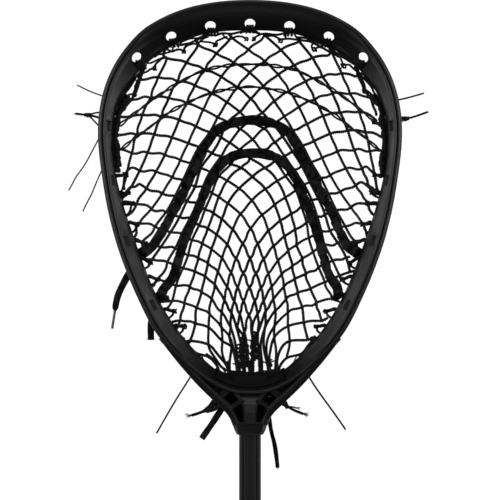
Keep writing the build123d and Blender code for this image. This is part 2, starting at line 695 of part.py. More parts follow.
lace_upper = flat_bar(resample(both(UPPER_LACE), 7.0), LACE_LIFT, LACE_W, LACE_T)
lace_lower = flat_bar(resample(both(LOWER_LACE), 7.0), LACE_LIFT, LACE_W, LACE_T)
nylon_upper = round_bar(on_bag(resample(both(UPPER_NYLON), 11.0), 2.6), NYLON_R)
nylon_lower = round_bar(on_bag(resample(both(LOWER_NYLON), 11.0), 2.6), NYLON_R)


def inner_offset(v_or_s, off, y):
    p = inner.at(v_or_s)
    t = inner.tangent(v_or_s)
    n = np.array([-t[1], t[0]])
    hw, v = p + n * off
    return hw, v, y


def inner_string(s0, s1, off, y, step, r, side):
    n = max(int(round((s1 - s0) / step)), 2)
    pts = []
    for k in range(n + 1):
        hw, v, yy = inner_offset(s0 + (s1 - s0) * k / n, off, y)
        pts.append(place(REF + side * hw, v, yy))
    return round_bar(pts, r)


S_IN_TOP = inner.find_v(66.0)
S_IN_SIDE = inner.find_v(73.0)
S_IN_LOW = inner.find_v(352.0)
S_IN_BOT = inner.find_v(357.0)
string_off, string_y = 3.6, BACK_Y - 3.0
top_pts = []
n_top = 24
for k in range(-n_top, n_top + 1):
    s = abs(k) / n_top * S_IN_TOP
    hw, v, yy = inner_offset(s, 3.4, string_y)
    top_pts.append(place(REF + math.copysign(hw, k), v, yy))
top_string = round_bar(top_pts, 2.0)
side_right = inner_string(S_IN_SIDE, S_IN_LOW, string_off, string_y, 12.0, STRING_R, 1)
side_left = inner_string(S_IN_SIDE, S_IN_LOW, string_off, string_y, 12.0, STRING_R, -1)
bot_pts = []
n_bot = 10
for k in range(-n_bot, n_bot + 1):
    s = inner.length - abs(k) / n_bot * (inner.length - S_IN_BOT)
    hw, v, yy = inner_offset(s, 4.2 + 1.4 * smooth((40 - abs(hw if k else 0)) / 20.0), string_y + 3.2)
    top = place(REF + math.copysign(hw, k if k else 1) * (0 if k == 0 else 1), v, yy)
    bot_pts.append(top)
bottom_string = round_bar(bot_pts, 1.9)


# -------------------------------------------------------- free string ends
def cord_route(points_uvy):
    return [Vector(*place(*q)) for q in points_uvy]


def cord_path(route):
    radii = []
    for a, b, c in zip(route[:-2], route[1:-1], route[2:]):
        turn = math.radians((b - a).get_angle(c - b))
        run = min((b - a).length, (c - b).length)
        radii.append(0.45 * run / math.tan(turn / 2))
    if not radii:
        return Wire([Edge.make_line(route[0], route[1])]), radii
    return FilletPolyline(*route, radius=radii), radii


def cord_tube(name, points_uvy, dia, flat=None):
    """Tube of one free end; flat gives the thickness of a flat lace, whose
    width is dia and lies in a plane of constant Y."""
    route = cord_route(points_uvy)
    path, radii = cord_path(route)
    wire = path if isinstance(path, Wire) else path.wire()
    t0 = (route[1] - route[0]).normalized()
    if flat:
        pl = Plane(origin=route[0], x_dir=t0.cross(Vector(0, 1, 0)).normalized(), z_dir=t0)
        sec = pl * Rectangle(dia, flat)
        area = dia * flat
    else:
        pl = Plane(origin=route[0], x_dir=t0.cross(Vector(0, 1, 0)).normalized(), z_dir=t0)
        sec = pl * Circle(dia / 2)
        area = math.pi * dia * dia / 4
    solid = Solid.sweep(sec.face().outer_wire(), wire)
    length = wire.length
    print(f"{name}: length {length:.1f} mm, volume ratio {abs(solid.volume) / (area * length):.3f}, "
          f"radii {[round(r, 1) for r in radii]}, end {tuple(round(q, 2) for q in tuple(route[-1]))}")
    return solid


YB = BACK_Y
CORDS = {
    "nylon_end_left": (1.3, None, [(112.5, 99.6, YB + 1.2), (101.6, 95.7, YB + 1.6),
                                   (92.0, 92.2, YB + 2.2), (84.6, 88.9, YB + 2.4),
                                   (77.4, 85.2, YB + 2.2)]),
    "knotted_end_left": (2.2, None, [(109.2, 120.6, YB + 1.6), (103.5, 119.5, YB + 2.0),
                                     (96.0, 116.6, YB + 2.6),
                                     (88.5, 115.0, YB + 3.0), (81.8, 114.5, YB + 3.2),
                                     (75.2, 113.6, YB + 3.0)]),
    "thread_end_left_upper": (1.3, None, [(103.0, 130.0, YB + 1.6), (98.2, 140.0, YB + 2.0),
                                          (92.6, 150.2, YB + 2.6), (88.2, 159.0, YB + 3.0),
                                          (82.6, 168.2, YB + 3.2), (75.6, 177.2, YB + 3.2),
                                          (72.2, 184.4, YB + 3.0), (68.8, 190.2, YB + 2.8)]),
    "thread_end_left_lower": (1.3, None, [(105.0, 163.6, YB + 1.6), (100.4, 173.2, YB + 2.0),
                                          (95.6, 184.2, YB + 2.6), (91.2, 195.2, YB + 3.0),
                                          (86.6, 203.2, YB + 3.0), (83.0, 211.2, YB + 2.8)]),
    "nylon_end_right": (1.6, None, [(388.0, 101.4, YB + 1.4), (399.6, 99.8, YB + 2.0),
                                    (412.0, 96.7, YB + 2.4), (423.8, 93.2, YB + 2.2)]),
    "knotted_end_right": (2.0, None, [(393.0, 120.6, YB + 2.0), (401.6, 119.2, YB + 2.6),
                                      (409.6, 118.1, YB + 3.0), (418.4, 115.4, YB + 3.2),
                                      (427.8, 111.9, YB + 3.0)]),
    "lace_end_upper": (7.2, 1.8, [(134.2, 262.6, YB + 3.2), (127.2, 276.6, YB + 3.2),
                                  (119.6, 290.6, YB + 3.2), (116.0, 301.6, YB + 3.2),
                                  (114.9, 310.8, YB + 3.2)]),
    "lace_end_lower": (7.0, 1.8, [(159.4, 297.8, YB + 3.2), (155.8, 304.8, YB + 3.2),
                                  (152.2, 316.2, YB + 3.2),
                                  (150.6, 328.0, YB + 3.2), (151.0, 339.8, YB + 3.2)]),
    "string_end_low_left": (1.6, None, [(196.4, 367.4, YB + 1.6), (188.6, 380.0, YB + 2.0),
                                        (178.6, 395.4, YB + 2.4), (166.4, 415.8, YB + 2.6),
                                        (156.8, 433.0, YB + 2.4)]),
    "string_end_low_right": (1.7, None, [(303.8, 368.0, YB + 1.6), (311.0, 380.6, YB + 2.0),
                                         (321.6, 396.0, YB + 2.4), (334.6, 413.6, YB + 2.6),
                                         (345.5, 429.4, YB + 2.4)]),
    "frayed_end_left": (2.8, None, [(222.0, 400.0, YB - 2.0), (214.0, 405.4, YB - 1.2),
                                    (206.6, 409.8, YB - 0.6), (199.2, 413.2, YB - 0.6),
                                    (191.4, 415.4, YB - 1.0)]),
    "lace_end_throat_left": (6.0, 1.8, [(227.0, 401.0, YB + 1.0), (220.0, 411.4, YB + 1.0),
                                        (211.4, 424.8, YB + 1.0), (201.8, 438.4, YB + 1.0)]),
    "frayed_end_right": (2.6, None, [(276.8, 394.8, YB - 2.4), (280.4, 399.4, YB - 1.8),
                                     (284.6, 403.8, YB - 1.2),
                                     (290.4, 408.4, YB - 0.6), (297.0, 411.6, YB - 0.6),
                                     (303.4, 413.9, YB - 1.0)]),
    "lace_end_throat_right": (3.4, None, [(267.4, 408.0, YB - 1.0), (269.4, 420.0, YB - 0.4),
                                          (271.4, 432.6, YB + 0.2), (275.6, 447.4, YB + 0.4),
                                          (277.6, 467.6, YB + 0.2)]),
}

cords = {}
for name, (dia, flat, pts) in CORDS.items():
    cords[name] = cord_tube(name, pts, dia, flat)

# aglet on the long lace end
AGLET_LEN, AGLET_R = 17.4, 1.35
a0 = Vector(*place(114.9, 310.8, YB + 3.2))
a1 = Vector(*place(112.2, 328.3, YB + 3.2))
ad = (a1 - a0).normalized()
lace_tip_dir = (a0 - Vector(*place(116.0, 301.6, YB + 3.2))).normalized()
aglet = Solid.make_cylinder(AGLET_R, (a1 - a0).length,
                            Plane(origin=a0 + ad * 0.35, x_dir=Vector(0, 1, 0), z_dir=ad))

# ------------------------------------------------------------------- output
nodes = {
    "head_frame": head,
    "shaft": shaft,
    "butt_cap": cap,
    "head_screw": screw,
    "ball_stop": ball_stop,
    "pocket_mesh": bag,
    "top_string": top_string,
    "sidewall_string_left": side_left,
    "sidewall_string_right": side_right,
    "bottom_string": bottom_string,
    "shooting_lace_upper": lace_upper,
    "shooting_lace_lower": lace_lower,
    "nylon_shooter_upper": nylon_upper,
    "nylon_shooter_lower": nylon_lower,
    "lace_aglet": aglet,
}
nodes.update(cords)
for name, shape in nodes.items():
    export_step(shape, f"parts/{name}.step")
    bb = shape.bounding_box()
    print(f"{name}: volume {shape.volume:.1f}, valid {shape.is_valid}, "
          f"min {tuple(round(q, 1) for q in tuple(bb.min))}, "
          f"max {tuple(round(q, 1) for q in tuple(bb.max))}")
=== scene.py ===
import math
import random

import bpy
import numpy as np
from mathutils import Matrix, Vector


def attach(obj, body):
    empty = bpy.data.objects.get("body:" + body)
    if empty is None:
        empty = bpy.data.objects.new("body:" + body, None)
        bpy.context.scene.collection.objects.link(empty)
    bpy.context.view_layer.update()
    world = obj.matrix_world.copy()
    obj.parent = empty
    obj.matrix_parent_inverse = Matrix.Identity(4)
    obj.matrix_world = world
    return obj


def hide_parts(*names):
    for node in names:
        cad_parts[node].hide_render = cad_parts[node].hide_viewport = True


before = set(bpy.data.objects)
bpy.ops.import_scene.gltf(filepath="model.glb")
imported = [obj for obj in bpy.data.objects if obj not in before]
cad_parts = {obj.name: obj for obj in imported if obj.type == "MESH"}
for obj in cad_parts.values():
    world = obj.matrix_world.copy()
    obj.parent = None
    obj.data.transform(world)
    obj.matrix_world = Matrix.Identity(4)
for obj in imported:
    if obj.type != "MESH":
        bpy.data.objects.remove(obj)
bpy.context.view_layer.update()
random.seed(5)
MM = 0.001

# ------------------------------------------------------------------- camera
cam_data = bpy.data.cameras.new("camera")
cam_data.lens = 144.0
cam_data.sensor_width = 36.0
cam = bpy.data.objects.new("camera", cam_data)
bpy.context.scene.collection.objects.link(cam)
cam.location = (0.0, -2.0, 1.166)
cam.rotation_euler = (math.radians(90.0), 0.0, 0.0)
bpy.context.scene.camera = cam

# ------------------------------------------------ the stick's own dimensions
# Millimetres, in the row frame. place() puts a point seen at (u, v) at depth y.
VIEW = 2000.0
REF = 250.0
HEAD_MID_Z = 1166.0
FACE_Y = -24.0
BACK_Y = 22.0
BAG_DEPTH = 66.0

OUTER = [(0, -0.3), (22, 0.6), (44, 3.4), (63.5, 8), (84.5, 16), (99, 24),
         (110, 32), (124.5, 48), (135.5, 64), (143, 80), (148, 96), (151, 112),
         (152.2, 130), (151.4, 150), (149.3, 168), (147, 184), (144.3, 200),
         (141, 216), (137, 232), (132.3, 248), (126.6, 264), (120.4, 280),
         (113.4, 296), (105.9, 312), (97.3, 328), (89.5, 339.2), (81.8, 348.0),
         (72.5, 357.4), (61.5, 367.2), (50, 376.3), (38, 384.2), (26, 390.1),
         (13, 393.4), (0, 394.2)]
INNER = [(0, 30.5), (25, 31.2), (43, 33.8), (57, 37.5), (70, 42.6), (85, 50.3),
         (98, 59.3), (110, 70.5), (121, 84), (128.8, 97.5), (133, 108.5),
         (135.8, 121), (137, 135), (136.8, 150), (135.4, 165), (132.8, 180),
         (129.2, 195), (125, 210), (120.2, 225), (115, 240), (109.8, 255),
         (104.5, 269), (98.5, 284), (92, 298), (84.5, 311.5), (76.5, 324),
         (67.5, 336), (58, 347.2), (47.5, 358), (36, 368), (24, 375.6),
         (12, 379.2), (0, 380.2)]


def place(u, v, y):
    k = (VIEW + y) / VIEW
    return np.array([(u - REF) * k, y, HEAD_MID_Z + (REF - v) * k])


def edge_line(table):
    """Both halves of an outline as a closed run of points."""
    right = [(REF + a, b) for a, b in table]
    left = [(REF - a, b) for a, b in table[1:-1]]
    return np.array(right + left[::-1] + right[:1], float)


def smooth_line(pts, step):
    """Points every step or so along a smooth curve through pts, any dimension."""
    p = np.array(pts, float)
    if len(p) == 2:
        n = max(int(np.linalg.norm(p[1] - p[0]) / step), 1)
        return p[0] + (p[1] - p[0]) * np.linspace(0, 1, n + 1)[:, None]
    d = np.linalg.norm(np.diff(p, axis=0), axis=1)
    t = np.concatenate([[0], np.cumsum(np.maximum(d, 1e-6) ** 0.5 * np.mean(d) ** 0.5)])
    n = len(t)
    a = np.zeros((n, n))
    b = np.zeros((n, p.shape[1]))
    a[0, 0] = a[-1, -1] = 1.0
    for i in range(1, n - 1):
        h0, h1 = t[i] - t[i - 1], t[i + 1] - t[i]
        a[i, i - 1], a[i, i], a[i, i + 1] = h0, 2 * (h0 + h1), h1
        b[i] = 6 * ((p[i + 1] - p[i]) / h1 - (p[i] - p[i - 1]) / h0)
    m = np.linalg.solve(a, b)

    def at(x):
        i = np.clip(np.searchsorted(t, x) - 1, 0, n - 2)
        h = (t[i + 1] - t[i])[:, None]
        e, f = (t[i + 1] - x)[:, None] / h, (x - t[i])[:, None] / h
        return (e * p[i] + f * p[i + 1]
                + ((e ** 3 - e) * m[i] + (f ** 3 - f) * m[i + 1]) * h * h / 6)

    fine = at(np.linspace(0, t[-1], max(40 * n, 200)))
    s = np.concatenate([[0], np.cumsum(np.linalg.norm(np.diff(fine, axis=0), axis=1))])
    k = max(int(round(s[-1] / step)), 2)
    want = np.linspace(0, s[-1], k + 1)
    return np.stack([np.interp(want, s, fine[:, j]) for j in range(p.shape[1])], 1)


inner_line = smooth_line(edge_line(INNER), 2.0)
outer_line = smooth_line(edge_line(OUTER), 2.0)
half_table = inner_line[inner_line[:, 0] >= REF]
half_table = half_table[np.argsort(half_table[:, 1])]


def half_width(v):
    if v <= 31 or v >= 379.5:
        return 0.0
    return float(np.interp(v, half_table[:, 1], half_table[:, 0])) - REF


def bag_y(u, v):
    """Depth of the net at the place seen at (u, v)."""
    tau = min(max((v - 33.0) / 343.0, 0.0), 1.0)
    along = (4 * tau * (1 - tau)) ** 0.62
    along *= 0.86 + 0.14 * math.sin(math.pi * tau)
    hw = max(half_width(min(max(v, 33.0), 377.0)) - 5.0, 10.0)
    s = min(abs(u - REF) / hw, 1.0)
    across = (1 - s * s) ** 0.85
    return BACK_Y - 3.0 + BAG_DEPTH * along * across


def scoop_y(u, v):
    """Front surface of the scoop at the place seen at (u, v)."""
    q = np.array([u, v])
    a = np.min(np.hypot(*(outer_line - q).T))
    b = np.min(np.hypot(*(inner_line - q).T))
    k = a / (a + b)
    return FACE_Y + 0.5 + 42.3 * (0.15 * k + 0.85 * k * k)


# ------------------------------------------------------------- mesh building
class Bits:
    """Vertices and faces of one piece, in millimetres."""

    def __init__(self):
        self.v, self.f, self.uv, self.count = [], [], [], 0

    def add(self, verts, faces, uvs=None):
        verts = np.asarray(verts, float).reshape(-1, 3)
        self.v.append(verts)
        for f in faces:
            self.f.append([int(i) + self.count for i in f])
        self.uv += uvs if uvs is not None else [None] * len(faces)
        self.count += len(verts)

    def make(self, name, material, smooth=True):
        mesh = bpy.data.meshes.new(name)
        v = np.concatenate(self.v) * MM
        mesh.from_pydata(v.tolist(), [], self.f)
        if smooth:
            mesh.polygons.foreach_set("use_smooth", [True] * len(mesh.polygons))
        if any(x is not None for x in self.uv):
            layer = mesh.uv_layers.new(name="UVMap")
            flat = []
            for f, x in zip(self.f, self.uv):
                for k in range(len(f)):
                    flat += list(x[k]) if x is not None else [0.0, 0.0]
            layer.data.foreach_set("uv", flat)
        mesh.validate()
        mesh.update()
        ob = bpy.data.objects.new(name, mesh)
        bpy.context.scene.collection.objects.link(ob)
        mesh.materials.append(material)
        return ob


def grid_faces(n, m, wrap=True, start=0):
    """Quads between n rings of m points."""
    out = []
    for i in range(n - 1):
        for j in range(m if wrap else m - 1):
            k = (j + 1) % m
            out.append((start + i * m + j, start + i * m + k,
                        start + (i + 1) * m + k, start + (i + 1) * m + j))
    return out


def tangents(p):
    t = np.gradient(p, axis=0)
    return t / np.maximum(np.linalg.norm(t, axis=1), 1e-9)[:, None]


def side_frames(p, up):
    """Two directions across the line p: e1 lies in the surface whose normal
    is up, e2 is along that normal."""
    t = tangents(p)
    up = np.broadcast_to(np.asarray(up, float), p.shape)
    e1 = np.cross(t, up)
    n = np.linalg.norm(e1, axis=1)
    bad = n < 1e-4
    e1[bad] = (1, 0, 0)
    n[bad] = 1
    e1 /= n[:, None]
    e2 = np.cross(e1, t)
    return t, e1, e2


def tube(bits, p, r, sides=8, up=(0, -1, 0), cap=True, squash=1.0):
    """Tube round the points p with radius r, a number or one for each point."""
    p = np.asarray(p, float)
    t, e1, e2 = side_frames(p, up)
    r = np.broadcast_to(np.asarray(r, float), (len(p),))
    a = 2 * np.pi * np.arange(sides) / sides
    ring = (p[:, None, :] + (r[:, None] * np.cos(a))[:, :, None] * e1[:, None, :]
            + (r[:, None] * squash * np.sin(a))[:, :, None] * e2[:, None, :])
    v = ring.reshape(-1, 3)
    faces = grid_faces(len(p), sides)
    if cap:
        n = len(v)
        v = np.vstack([v, p[0] - t[0] * r[0] * 0.6, p[-1] + t[-1] * r[-1] * 0.6])
        for j in range(sides):
            k = (j + 1) % sides
            faces.append((n, k, j))
            faces.append((n + 1, (len(p) - 1) * sides + j, (len(p) - 1) * sides + k))
    bits.add(v, faces)


def plait(bits, p, width, pitch=6.6, up=(0, -1, 0), sides=6, phase=0.0, thick=0.62,
          swing=0.285, yarn=0.245):
    """Three yarns plaited along p. The whole is about width across."""
    p = np.asarray(p, float)
    s = np.concatenate([[0], np.cumsum(np.linalg.norm(np.diff(p, axis=0), axis=1))])
    t, e1, e2 = side_frames(p, up)
    a, r = width * swing, width * yarn
    b = a * thick
    for k in range(3):
        w = 2 * np.pi * (s / pitch + k / 3) + phase
        c = p + e1 * (a * np.sin(w))[:, None] + e2 * (b * np.sin(2 * w))[:, None]
        ends = np.minimum(1.0, 0.45 + np.minimum(s, s[-1] - s) / (0.8 * r))
        tube(bits, c, r * ends, sides, up)


def twist(bits, p, width, pitch=5.0, plies=2, up=(0, -1, 0), sides=6, phase=0.0, yarn=0.30):
    """Yarns twisted round each other along p."""
    p = np.asarray(p, float)
    s = np.concatenate([[0], np.cumsum(np.linalg.norm(np.diff(p, axis=0), axis=1))])
    t, e1, e2 = side_frames(p, up)
    r = width * yarn
    a = width / 2 - r
    for k in range(plies):
        w = 2 * np.pi * (s / pitch + k / plies) + phase
        c = p + e1 * (a * np.cos(w))[:, None] + e2 * (a * np.sin(w))[:, None]
        ends = np.minimum(1.0, 0.45 + np.minimum(s, s[-1] - s) / (0.8 * r))
        tube(bits, c, r * ends, sides, up)


def knot(bits, centre, size, yarn, seed, up=(0, -1, 0)):
    """A small tied knot: a yarn wound in a few tight loops."""
    rnd = random.Random(seed)
    tau = np.linspace(0, 2 * np.pi * 2.0, 46)
    ax, ay = rnd.uniform(0.75, 1.0), rnd.uniform(0.75, 1.0)
    rot = rnd.uniform(0, math.pi)
    x = size * (0.62 * ax) * np.sin(tau + rot) * (1 + 0.25 * np.sin(2.5 * tau))
    z = size * (0.62 * ay) * np.cos(tau * 1.5 + rot * 0.7)
    y = size * 0.45 * np.sin(tau * 2.5 + 0.6)
    c = np.asarray(centre, float)
    tube(bits, c + np.stack([x, y, z], 1), yarn, 7, up=(0.2, -1, 0.1))


# ------------------------------------------------------------- light settings
AMBIENT = 0.02
LIGHTS = [
    ("front", (0.0, -3.2, 2.2), (0, 0, 1.2), 2.4, 1.6, 8.5),
    ("key_left", (-2.2, -1.2, 1.6), (0, 0, 1.2), 0.9, 2.3, 26.0),
    ("key_right", (2.2, -1.2, 1.6), (0, 0, 1.2), 0.9, 2.3, 26.0),
    ("top", (0.0, -1.9, 3.1), (0, 0, 1.1), 1.2, 0.7, 10.5),
    ("low_left", (-1.5, -2.4, 0.35), (0, 0, 1.36), 1.0, 0.9, 2.6),
    ("low_right", (1.5, -2.4, 0.35), (0, 0, 1.36), 1.0, 0.9, 2.6),
    ("back_left", (-1.15, 1.7, 1.2), (0, 0, 1.2), 0.9, 1.8, 8.0),
    ("back_right", (1.15, 1.7, 1.2), (0, 0, 1.2), 0.9, 1.8, 8.0),
]
MESH_WIDTH = 3.45

